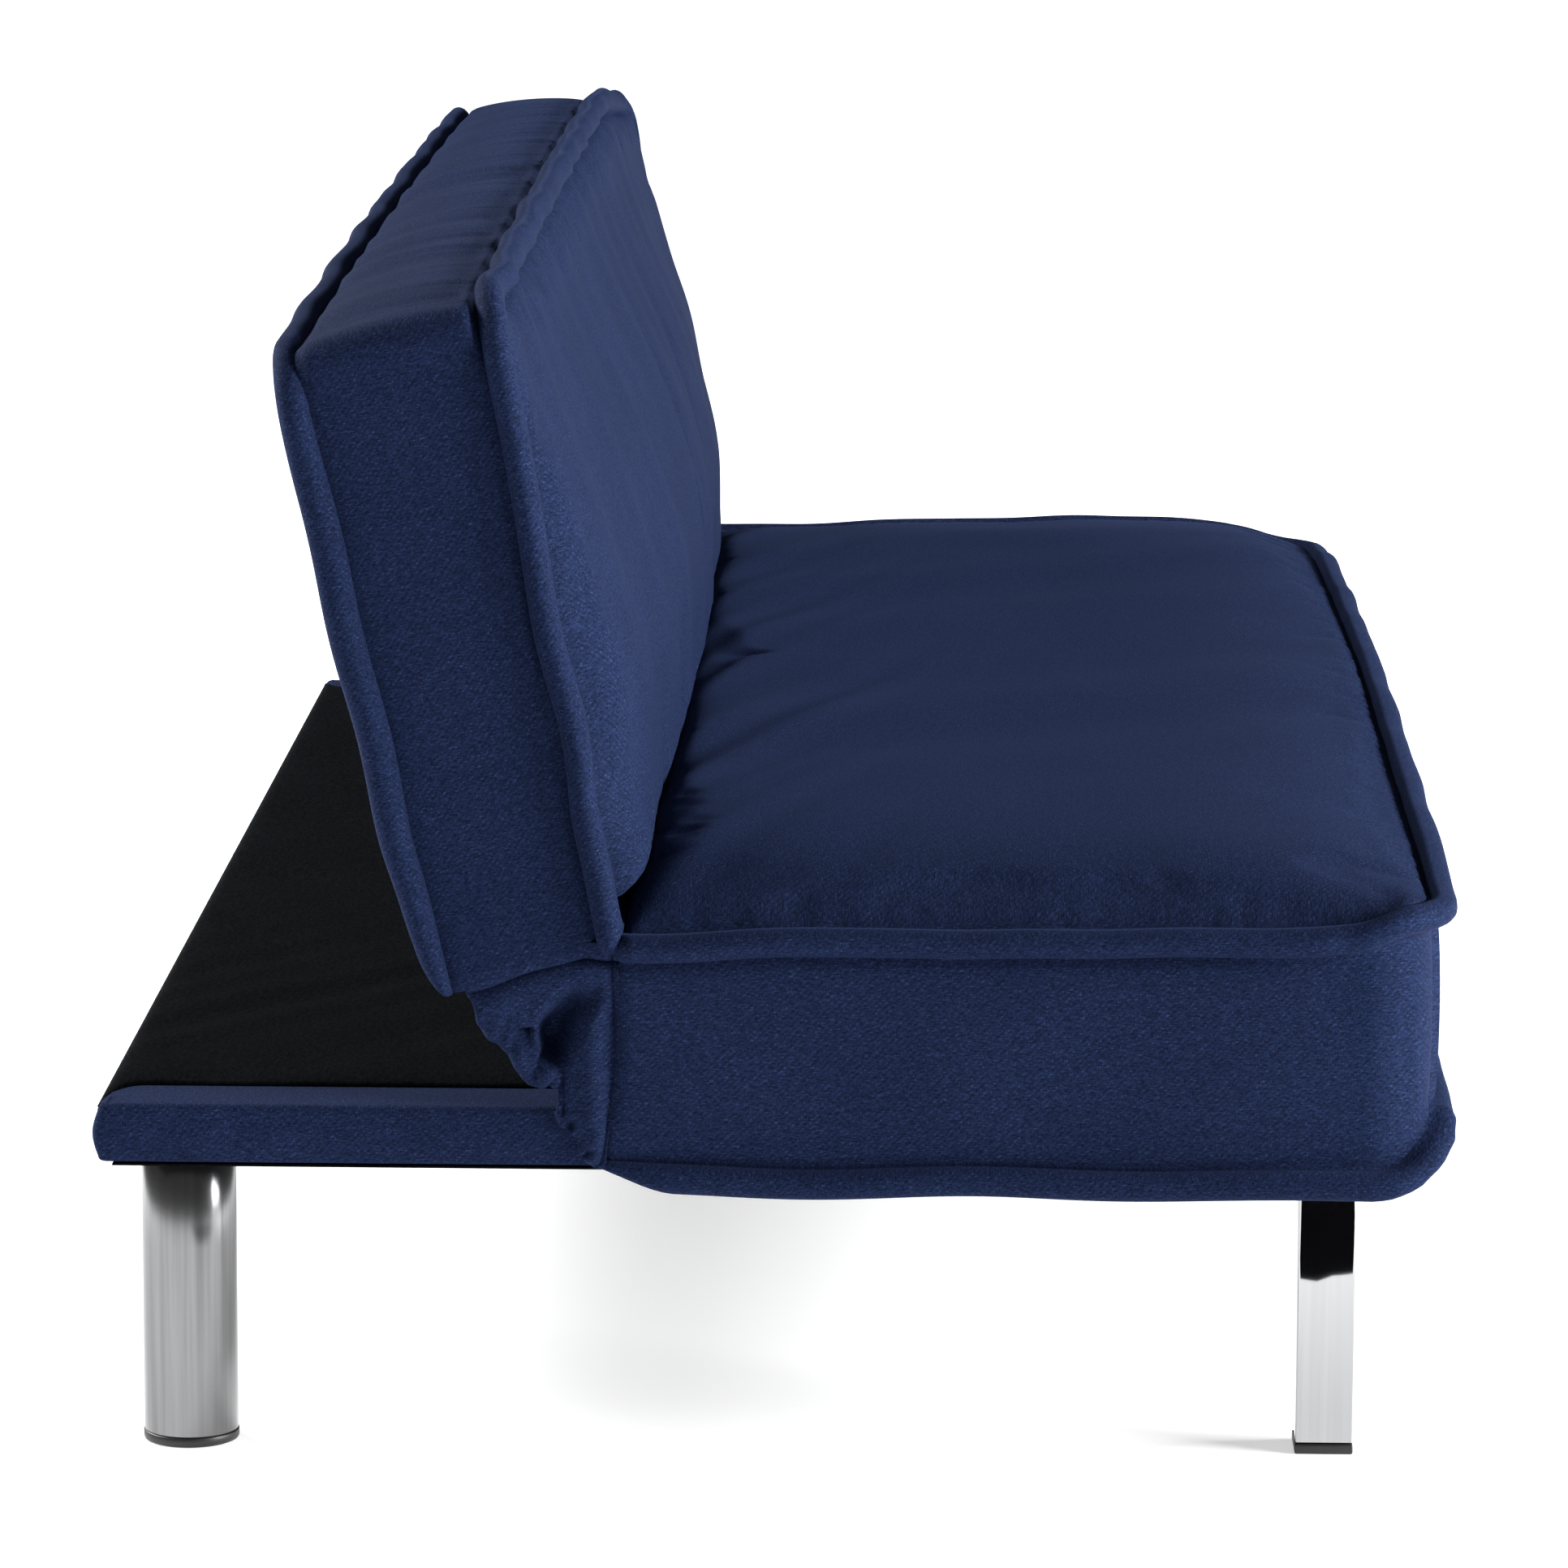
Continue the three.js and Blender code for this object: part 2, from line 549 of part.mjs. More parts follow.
function addGussets() {
  const panel = plateYZ(outline(GUSSET), [885, 887.5]);
  add('gusset_right', panel, NAVY);
  add('gusset_left', mirrorX(panel), NAVY);
  add('curtain', plateYZ(outline(CURTAIN), [-RAIL_X, RAIL_X]), NAVY);
}

addBaseFrame();
addLegMounts();
addLegs();
addPlatform();
addDustCloth();
addSeatFrame();
addSeatSprings();
addSeatCushion();
addHingeBase();
addHingeArms();
addBackFrame();
addBackCushion();
addGussets();

export default sofa;
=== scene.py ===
import math

import bmesh
import bpy
import numpy as np
from mathutils import Matrix, Vector


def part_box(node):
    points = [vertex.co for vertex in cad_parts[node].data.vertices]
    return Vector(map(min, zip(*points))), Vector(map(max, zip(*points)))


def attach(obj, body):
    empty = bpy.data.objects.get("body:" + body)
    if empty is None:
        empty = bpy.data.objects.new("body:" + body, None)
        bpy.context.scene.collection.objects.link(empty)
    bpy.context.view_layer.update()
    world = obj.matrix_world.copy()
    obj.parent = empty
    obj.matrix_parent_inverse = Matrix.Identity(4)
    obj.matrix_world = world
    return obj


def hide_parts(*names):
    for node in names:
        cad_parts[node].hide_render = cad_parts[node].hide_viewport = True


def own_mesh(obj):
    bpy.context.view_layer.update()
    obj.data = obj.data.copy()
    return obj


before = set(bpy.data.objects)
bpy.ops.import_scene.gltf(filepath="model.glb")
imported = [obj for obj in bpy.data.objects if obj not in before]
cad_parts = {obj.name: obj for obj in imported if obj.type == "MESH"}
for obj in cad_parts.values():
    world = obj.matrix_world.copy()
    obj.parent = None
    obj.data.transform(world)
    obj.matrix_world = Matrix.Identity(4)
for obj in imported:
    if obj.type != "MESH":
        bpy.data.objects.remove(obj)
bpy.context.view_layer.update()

MM = 0.001

# -------------------- sizes, in millimetres

SEAT_LOW, SEAT_HIGH = (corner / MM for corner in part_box("seat_cushion"))
HALF = SEAT_HIGH.x  # half the sofa's length, flange to flange
FLANGE_OUT = 12.5  # how far a stuffed flange stands out
BOXING_X = HALF - FLANGE_OUT
SEAT_FRONT = SEAT_LOW.y + 10  # the boxing below the front flange
SEAT_REAR = SEAT_HIGH.y + 3  # the boxing under the backrest
GROOVE = -4.5  # how deep the seam beside a flange is pulled in

BACK_LEAN = math.radians(13.2)
BACK_FOOT = (117, 343)  # y and z of the backrest's own origin
BACK_TAPER = 0.042  # the front seam leans this much further forward
BACK_SQUARE = 95  # behind this depth nothing leans

ACROSS, ALONG = 300, 90  # quads along and across each cushion face
FLANGE_STEPS = 15  # rows of points round a flange
WAVE_COUNT = 6  # sine waves that make up one uneven line
TINY = 1e-6  # keeps a division clear of nought

SETTLE_FRAMES = 14  # how long the crowns' cloth is simulated
SETTLE_PRESSURE = 1.0  # how hard the foam pushes it outwards
CLOTH_SLACK = 0.003  # the share by which it is cut larger than its place
SETTLE_CAP = 2.5  # how far its points may move


# -------------------- mesh helpers

def smoothstep(low, high, value):
    share = np.clip((value - low) / (high - low), 0, 1)
    return share * share * (3 - 2 * share)


def waves(coordinate, wavelength, seed):
    """A smooth random curve of about unit height, whose waves are near one length."""
    random = np.random.default_rng(seed)
    total = np.zeros_like(np.asarray(coordinate, float))
    for _ in range(WAVE_COUNT):
        turn = 2 * np.pi / (wavelength * random.uniform(0.7, 1.7))
        total += np.sin(turn * coordinate + random.uniform(0, 2 * np.pi))
    return total / math.sqrt(WAVE_COUNT / 2)


def through(value, stops):
    """A smooth curve through (place, height) pairs, level beyond its ends."""
    places, heights = np.array(stops, float).T
    slopes = np.gradient(heights, places)
    slopes[[0, -1]] = 0
    value = np.clip(value, places[0], places[-1])
    low = np.clip(np.searchsorted(places, value, side="right") - 1, 0, len(places) - 2)
    gap = places[low + 1] - places[low]
    t = (value - places[low]) / gap
    return (heights[low] * (1 + 2 * t) * (1 - t) ** 2 + heights[low + 1] * t * t * (3 - 2 * t)
            + gap * t * (1 - t) * (slopes[low] * (1 - t) - slopes[low + 1] * t))


def make_object(name, points, faces, material, smooth=True):
    mesh = bpy.data.meshes.new(name)
    mesh.from_pydata((np.asarray(points) * MM).tolist(), [], faces)
    mesh.validate()
    mesh.update()
    if smooth:
        mesh.shade_smooth()
    piece = bpy.data.objects.new(name, mesh)
    bpy.context.scene.collection.objects.link(piece)
    mesh.materials.append(material)
    return piece


def lay_weave(piece, lean=0.0):
    """Lays the weave flat on each face, in metres, square to the piece's edges."""
    mesh = piece.data
    normals = np.empty(len(mesh.polygons) * 3)
    corners = np.empty(len(mesh.polygons), int)
    vertex = np.empty(len(mesh.loops), int)
    points = np.empty(len(mesh.vertices) * 3)
    mesh.polygons.foreach_get("normal", normals)
    mesh.polygons.foreach_get("loop_total", corners)
    mesh.loops.foreach_get("vertex_index", vertex)
    mesh.vertices.foreach_get("co", points)
    turn = np.array([[1, 0, 0], [0, math.cos(lean), math.sin(lean)],
                     [0, -math.sin(lean), math.cos(lean)]]).T
    normals, points = normals.reshape(-1, 3) @ turn, points.reshape(-1, 3) @ turn
    facing = np.repeat(np.abs(normals).argmax(1), corners)
    place = points[vertex]
    across = np.where(facing == 0, place[:, 1], place[:, 0])
    up = np.where(facing == 2, place[:, 1], place[:, 2])
    layer = mesh.uv_layers.new(name="weave")
    layer.uv.foreach_set("vector", np.column_stack([across, up]).astype(np.float32).ravel())


def apply_modifier(piece, kind, **settings):
    modifier = piece.modifiers.new(kind.title(), kind)
    for key, value in settings.items():
        setattr(modifier, key, value)
    bpy.context.view_layer.objects.active = piece
    bpy.ops.object.modifier_apply(modifier=modifier.name)


def recalculate(piece):
    """Turns every face outwards."""
    mesh = bmesh.new()
    mesh.from_mesh(piece.data)
    bmesh.ops.recalc_face_normals(mesh, faces=mesh.faces)
    mesh.to_mesh(piece.data)
    mesh.free()


def grid_quads(index):
    """The point numbers of each quad, from a grid of point numbers."""
    quads = np.stack([index[:-1, :-1], index[:-1, 1:], index[1:, 1:], index[1:, :-1]], -1)
    return quads.reshape(-1, 4)


def distance_along(loop):
    """How far along the loop each of its points lies."""
    return np.concatenate([[0], np.cumsum(np.linalg.norm(np.diff(loop, axis=0), axis=1))])


def span(start, end, first, second, count):
    """Points and outward angles of one side of a rounded rectangle, evenly spaced.

    It runs from the middle of one corner arc to the middle of the next: `first` and
    `second` are (centre, radius) of the arcs, `start` is the outward angle at the first.
    """
    (c1, r1), (c2, r2) = first, second
    facing = (start + end) / 2
    straight = np.hypot(*(np.array(c2) - np.array(c1)
                          + (r2 - r1) * np.array([math.cos(facing), math.sin(facing)])))
    bends = [r1 * np.pi / 4, straight, r2 * np.pi / 4]
    travel = np.linspace(0, sum(bends), count, endpoint=False)
    angle = np.where(
        travel < bends[0], start + travel / max(r1, TINY),
        np.where(travel > bends[0] + bends[1],
                 facing + (travel - bends[0] - bends[1]) / max(r2, TINY), facing))
    share = np.clip((travel - bends[0]) / max(straight, TINY), 0, 1)[:, None]
    radius = r1 + (r2 - r1) * share[:, 0]
    centre = np.array(c1) * (1 - share) + np.array(c2) * share
    normal = np.stack([np.cos(angle), np.sin(angle)], 1)
    return centre + radius[:, None] * normal, normal


def rounded_loop(half, low, high, low_radius, high_radius):
    """A rounded rectangle from the middle of its low left corner, anticlockwise."""
    corners = [
        ((-half + low_radius, low + low_radius), low_radius),
        ((half - low_radius, low + low_radius), low_radius),
        ((half - high_radius, high - high_radius), high_radius),
        ((-half + high_radius, high - high_radius), high_radius),
    ]
    points, normals = [], []
    for side in range(4):
        start = math.radians(225 + 90 * side)
        p, n = span(start, start + math.pi / 2, corners[side], corners[(side + 1) % 4],
                    ALONG if side % 2 else ACROSS)
        points.append(p)
        normals.append(n)
    return np.concatenate(points), np.concatenate(normals)


def ring_to_grid(ring):
    """The patch of (ALONG + 1) x (ACROSS + 1) points that a closed ring bounds."""
    nx, ny = ACROSS, ALONG
    closed = np.concatenate([ring, ring[:1]])
    low, right = closed[:nx + 1], closed[nx:nx + ny + 1]
    high, left = closed[nx + ny:2 * nx + ny + 1][::-1], closed[2 * nx + ny:][::-1]
    u = np.linspace(0, 1, nx + 1)[None, :, None]
    v = np.linspace(0, 1, ny + 1)[:, None, None]
    corners = ((1 - u) * (1 - v) * low[0] + u * (1 - v) * low[-1]
               + (1 - u) * v * high[0] + u * v * high[-1])
    return ((1 - v) * low[None] + v * high[None]
            + (1 - u) * left[:, None] + u * right[:, None] - corners)


def ring_index():
    """The ring position of each border point of the patch, as a grid; -1 inside."""
    nx, ny = ACROSS, ALONG
    index = np.full((ny + 1, nx + 1), -1)
    index[0, :] = np.arange(nx + 1)
    index[:, nx] = nx + np.arange(ny + 1)
    index[ny, :] = 2 * nx + ny - np.arange(nx + 1)
    index[:, 0] = (2 * (nx + ny) - np.arange(ny + 1)) % (2 * (nx + ny))
    return index


def closed_cushion(rings, bottom, top):
    """Points and faces of one closed body: a patch, the rings above it and a patch."""
    count = len(rings[0])
    points = [np.concatenate(rings)]
    faces = []
    for row in range(len(rings) - 1):
        a = row * count + np.arange(count)
        b = row * count + (np.arange(count) + 1) % count
        faces.append(np.stack([a, b, b + count, a + count], 1))
    border = ring_index()
    total = len(points[0])
    for patch, offset, flip in ((bottom, 0, True), (top, (len(rings) - 1) * count, False)):
        index = np.where(border >= 0, border + offset, 0)
        inside = border < 0
        index[inside] = total + np.arange(inside.sum())
        total += inside.sum()
        points.append(patch[inside])
        quads = grid_quads(index)
        faces.append(quads[:, ::-1] if flip else quads)
    return np.concatenate(points), np.concatenate(faces).tolist()


def flange_rows(centre, half_thickness, out):
    """(out, height) of each row round a stuffed flange, from its lower seam to its upper."""
    rows = []
    for step in range(FLANGE_STEPS):
        turn = math.radians(-90 + 180 * step / (FLANGE_STEPS - 1))
        rows.append((GROOVE + (out - GROOVE) * math.cos(turn) ** 0.75,
                     centre + half_thickness * math.sin(turn)))
    return rows


def rise(distance, reach):
    """A soft cushion's height, as a share, at a distance in from one edge."""
    return 1 - np.exp(-np.maximum(distance, 0) / reach)


def border_distance(grid):
    """Roughly how far in from the patch's border each point is, in millimetres."""
    u = np.arange(ACROSS + 1)[None, :]
    v = np.arange(ALONG + 1)[:, None]
    pitch_u = np.linalg.norm(grid[:, 1:, :2] - grid[:, :-1, :2], axis=2).mean()
    pitch_v = np.linalg.norm(grid[1:, :, :2] - grid[:-1, :, :2], axis=2).mean()
    return np.minimum(np.minimum(u, ACROSS - u) * pitch_u, np.minimum(v, ALONG - v) * pitch_v)


def settle_patch(grid):
    """Lets a patch of cloth, sewn down round its border, settle on the foam under it.

    The cloth is cut a little larger than its place, so that it eases into soft folds.
    """
    rows, columns = grid.shape[:2]
    index = np.arange(rows * columns).reshape(rows, columns)
    cloth = make_object("settling", grid.reshape(-1, 3), grid_quads(index).tolist(),
                        bpy.data.materials.new("settling"))
    edge = cloth.vertex_groups.new(name="sewn")
    border = np.concatenate([index[0], index[-1], index[:, 0], index[:, -1]])
    edge.add([int(i) for i in border], 1.0, "REPLACE")
    modifier = cloth.modifiers.new("Cloth", "CLOTH")
    settings = modifier.settings
    settings.quality = 4
    settings.mass = 0.3
    settings.tension_stiffness = settings.compression_stiffness = 25
    settings.shear_stiffness = 12
    settings.bending_stiffness = 1.5
    settings.use_pressure = True
    settings.uniform_pressure_force = SETTLE_PRESSURE
    settings.shrink_min = -CLOTH_SLACK
    settings.vertex_group_mass = edge.name
    settings.effector_weights.gravity = 0
    modifier.collision_settings.use_collision = False
    scene = bpy.context.scene
    for number in range(1, SETTLE_FRAMES + 1):
        scene.frame_set(number)
    settled = cloth.evaluated_get(bpy.context.evaluated_depsgraph_get())
    moved = np.array([v.co for v in settled.data.vertices]).reshape(grid.shape) / MM
    bpy.data.objects.remove(cloth)
    scene.frame_set(1)
    shift = moved - grid
    length = np.linalg.norm(shift, axis=2, keepdims=True)
    return grid + shift * np.minimum(1, SETTLE_CAP / np.maximum(length, TINY))


# -------------------- materials

TWILL_SCALE = 140.91  # of the wave texture: its ribs lie about 3 mm apart
NAVY_STOPS = [(0.37, (0.0030, 0.0056, 0.0175)), (0.50, (0.0070, 0.0128, 0.0400)),
              (0.60, (0.0114, 0.0205, 0.0615)), (0.69, (0.0270, 0.0440, 0.1100))]
BLACK_STOPS = [(0.35, (0.0014, 0.0016, 0.0021)), (0.7, (0.0052, 0.0059, 0.0076))]
PLASTIC_STOPS = [(0.3, (0.007, 0.007, 0.008)), (0.7, (0.014, 0.014, 0.015))]


def new_material(name, colour, roughness, metallic=0.0):
    material = bpy.data.materials.new(name)
    material.use_nodes = True
    shader = material.node_tree.nodes["Principled BSDF"]
    shader.inputs["Base Color"].default_value = (*colour, 1)
    shader.inputs["Roughness"].default_value = roughness
    shader.inputs["Metallic"].default_value = metallic
    return material, shader


def nodes_and_links(material):
    return material.node_tree.nodes, material.node_tree.links


def add_noise(material, scale, detail=2.0, stretch=(1, 1, 1)):
    """A noise texture in the object's own metres, longer along a smaller stretch value."""
    nodes, links = nodes_and_links(material)
    place = nodes.new("ShaderNodeTexCoord")
    mapping = nodes.new("ShaderNodeMapping")
    mapping.inputs["Scale"].default_value = stretch
    noise = nodes.new("ShaderNodeTexNoise")
    noise.inputs["Scale"].default_value = scale
    noise.inputs["Detail"].default_value = detail
    links.new(place.outputs["Object"], mapping.inputs["Vector"])
    links.new(mapping.outputs["Vector"], noise.inputs["Vector"])
    return noise.outputs["Fac"]


def combine(material, operation, a, b):
    node = material.node_tree.nodes.new("ShaderNodeMath")
    node.operation = operation
    for socket, value in zip(node.inputs, (a, b)):
        if isinstance(value, (int, float)):
            socket.default_value = value
        else:
            material.node_tree.links.new(value, socket)
    return node.outputs[0]


def colour_by(material, shader, factor, stops):
    """Colours the surface by a factor, through (place, colour) stops."""
    nodes, links = nodes_and_links(material)
    ramp = nodes.new("ShaderNodeValToRGB")
    elements = ramp.color_ramp.elements
    for _ in stops[2:]:
        elements.new(0.5)
    for element, (place, colour) in zip(elements, stops):
        element.position = place
        element.color = (*colour, 1)
    links.new(factor, ramp.inputs["Fac"])
    links.new(ramp.outputs["Color"], shader.inputs["Base Color"])


def add_bump(material, shader, height, strength, distance):
    nodes, links = nodes_and_links(material)
    bump = nodes.new("ShaderNodeBump")
    bump.inputs["Strength"].default_value = strength
    bump.inputs["Distance"].default_value = distance
    links.new(height, bump.inputs["Height"])
    links.new(bump.outputs["Normal"], shader.inputs["Normal"])


def weave_layout(material):
    layout = material.node_tree.nodes.new("ShaderNodeUVMap")
    layout.uv_map = "weave"
    return layout.outputs["UV"]


def weave_noise(material, across, up, seed=0.0):
    """Noise laid on the weave, with streaks `across` by `up` metres long."""
    nodes, links = nodes_and_links(material)
    layout = weave_layout(material)
    mapping = nodes.new("ShaderNodeMapping")
    mapping.inputs["Scale"].default_value = (1 / across, 1 / up, 1)
    mapping.inputs["Location"].default_value = (seed, seed, seed)
    noise = nodes.new("ShaderNodeTexNoise")
    noise.inputs["Scale"].default_value = 1
    noise.inputs["Detail"].default_value = 1.5
    links.new(layout, mapping.inputs["Vector"])
    links.new(mapping.outputs["Vector"], noise.inputs["Vector"])
    return noise.outputs["Fac"]


def twill(material):
    """Fine diagonal ribs of a twill, from 0 to 1."""
    nodes, links = nodes_and_links(material)
    layout = weave_layout(material)
    ribs = nodes.new("ShaderNodeTexWave")
    ribs.bands_direction = "DIAGONAL"
    ribs.inputs["Scale"].default_value = TWILL_SCALE
    ribs.inputs["Distortion"].default_value = 0.6
    links.new(layout, ribs.inputs["Vector"])
    return ribs.outputs["Fac"]


def navy_fabric():
    """Heathered navy linen twill: crossing slubs, pale flecks and a slow change of shade."""
    material, shader = new_material("navy_linen", (0.014, 0.021, 0.058), 0.88)
    warp = combine(material, "MULTIPLY", weave_noise(material, 0.0009, 0.0022), 0.7)
    weft = weave_noise(material, 0.0033, 0.0009, 3.7)
    yarn = combine(material, "ADD", warp, weft)
    yarn = combine(material, "ADD", yarn, combine(material, "MULTIPLY", twill(material), 0.10))
    patchy = combine(material, "MULTIPLY", weave_noise(material, 0.11, 0.09, 8.1), 0.12)
    tone = combine(material, "ADD", yarn, patchy)
    # 1.92 is the sum of the four shares, so that the tone stays between 0 and 1
    colour_by(material, shader, combine(material, "DIVIDE", tone, 1.92), NAVY_STOPS)
    shader.inputs["Sheen Weight"].default_value = 0.03
    shader.inputs["Sheen Roughness"].default_value = 0.5
    shader.inputs["Sheen Tint"].default_value = (0.25, 0.40, 1.0, 1)
    shader.inputs["Specular IOR Level"].default_value = 0.06
    add_bump(material, shader, yarn, 0.3, 0.00025)
    return material


def grained(name, colour, roughness, noise, stops, bump, metallic=0.0):
    """A material whose colour and bump both follow one noise texture.

    `noise` is its scale, detail and stretch, and `bump` its strength and distance.
    """
    material, shader = new_material(name, colour, roughness, metallic)
    grain = add_noise(material, *noise)
    colour_by(material, shader, grain, stops)
    add_bump(material, shader, grain, *bump)
    return material


def black_cloth():
    material = grained("black_nonwoven", (0.0025, 0.0027, 0.0032), 0.95,
                       (420, 4.0, (0.35, 1, 1)), BLACK_STOPS, (0.4, 0.0008))
    shader = material.node_tree.nodes["Principled BSDF"]
    shader.inputs["Specular IOR Level"].default_value = 0.02
    return material


def chrome(name, tone, roughness, streak):
    """Chromed tube: fine lines along its length, darker than its tone by up to `streak`."""
    pale = (tone * 1.02, tone * 1.03, tone * 1.05)
    stops = [(0.3, (tone - streak,) * 3), (0.7, pale)]
    return grained(name, (tone, tone, tone), roughness, (260, 2.0, (1, 1, 0.02)), stops,
                   (0.03, 0.0002), 1.0)


def steel(name, colour, roughness):
    stops = [(0.3, tuple(c * 0.75 for c in colour)), (0.7, colour)]
    return grained(name, colour, roughness, (300, 3.0, (1, 1, 0.2)), stops, (0.08, 0.0003),
                   1.0)


def wood(name, dark, light, scale):
    return grained(name, light, 0.62, (scale, 6.0, (0.06, 1, 1)), [(0.32, dark), (0.62, light)],
                   (0.15, 0.0006))


def black_plastic():
    return grained("black_foot_plastic", (0.010, 0.010, 0.011), 0.42, (1500, 2.0),
                   PLASTIC_STOPS, (0.1, 0.0002))


NAVY = navy_fabric()
BLACK = black_cloth()
CHROME_ROUND = chrome("chrome_round", 0.22, 0.22, 0.04)
CHROME_SQUARE = chrome("chrome_square", 0.405, 0.035, 0.02)
ZINC = steel("zinc_steel", (0.55, 0.56, 0.57), 0.34)
SPRING = steel("spring_steel", (0.12, 0.12, 0.13), 0.42)
PINE = wood("pine", (0.42, 0.24, 0.10), (0.68, 0.47, 0.25), 22)
HARDBOARD = wood("hardboard", (0.14, 0.07, 0.03), (0.26, 0.14, 0.06), 60)
PLASTIC = black_plastic()


# -------------------- seat cushion

# height of the upper flange's middle: along the near end, the front and the far end
SEAT_NEAR = [(-436, 372), (-395, 363), (-289, 357.5), (-130, 355.5), (29, 354), (105, 350)]
SEAT_FAR = [(-440, 368), (-355, 382), (-250, 386), (-100, 382), (105, 376)]
SEAT_ALONG = [(-889, 372), (-780, 373), (-680, 379), (-500, 383), (-250, 389), (0, 394),
              (250, 392), (500, 387), (700, 380), (889, 368)]
SEAT_TOP = 408  # the height that the crown climbs towards
SEAT_CREST_IN = 7.5  # how far in from the boxing the crown starts
# corner radii seen from above: the rear ones, then the front ones of the line that waves are
# measured along, of the lower flange and of the upper flange
SEAT_REAR_RADIUS = 8
SEAT_GUIDE_RADIUS, SEAT_LOW_RADIUS, SEAT_HIGH_RADIUS = 45, 48, 54
LOW_FLANGE_Z = 204  # the lower flange's middle where it is thin
LOW_THIN, LOW_FULL = 2, 8.2  # its half thickness there, and what the stuffing adds
LOW_RISE = 36  # how far it is drawn up along the front,
LOW_RISE_START, LOW_RISE_LENGTH = -394, 46  # round the corner from this y
HIGH_HALF = 9.6  # half the upper flange's thickness
SEAT_BOXING_ROWS = 17


def seat_flange_height(x, y):
    near, far = through(y, SEAT_NEAR), through(y, SEAT_FAR)
    share = (x + HALF) / (2 * HALF)
    front = through(x, SEAT_ALONG)
    between = near + (far - near) * share
    return between + (front - between) * smoothstep(SEAT_FRONT + 60, SEAT_FRONT + 3, y)


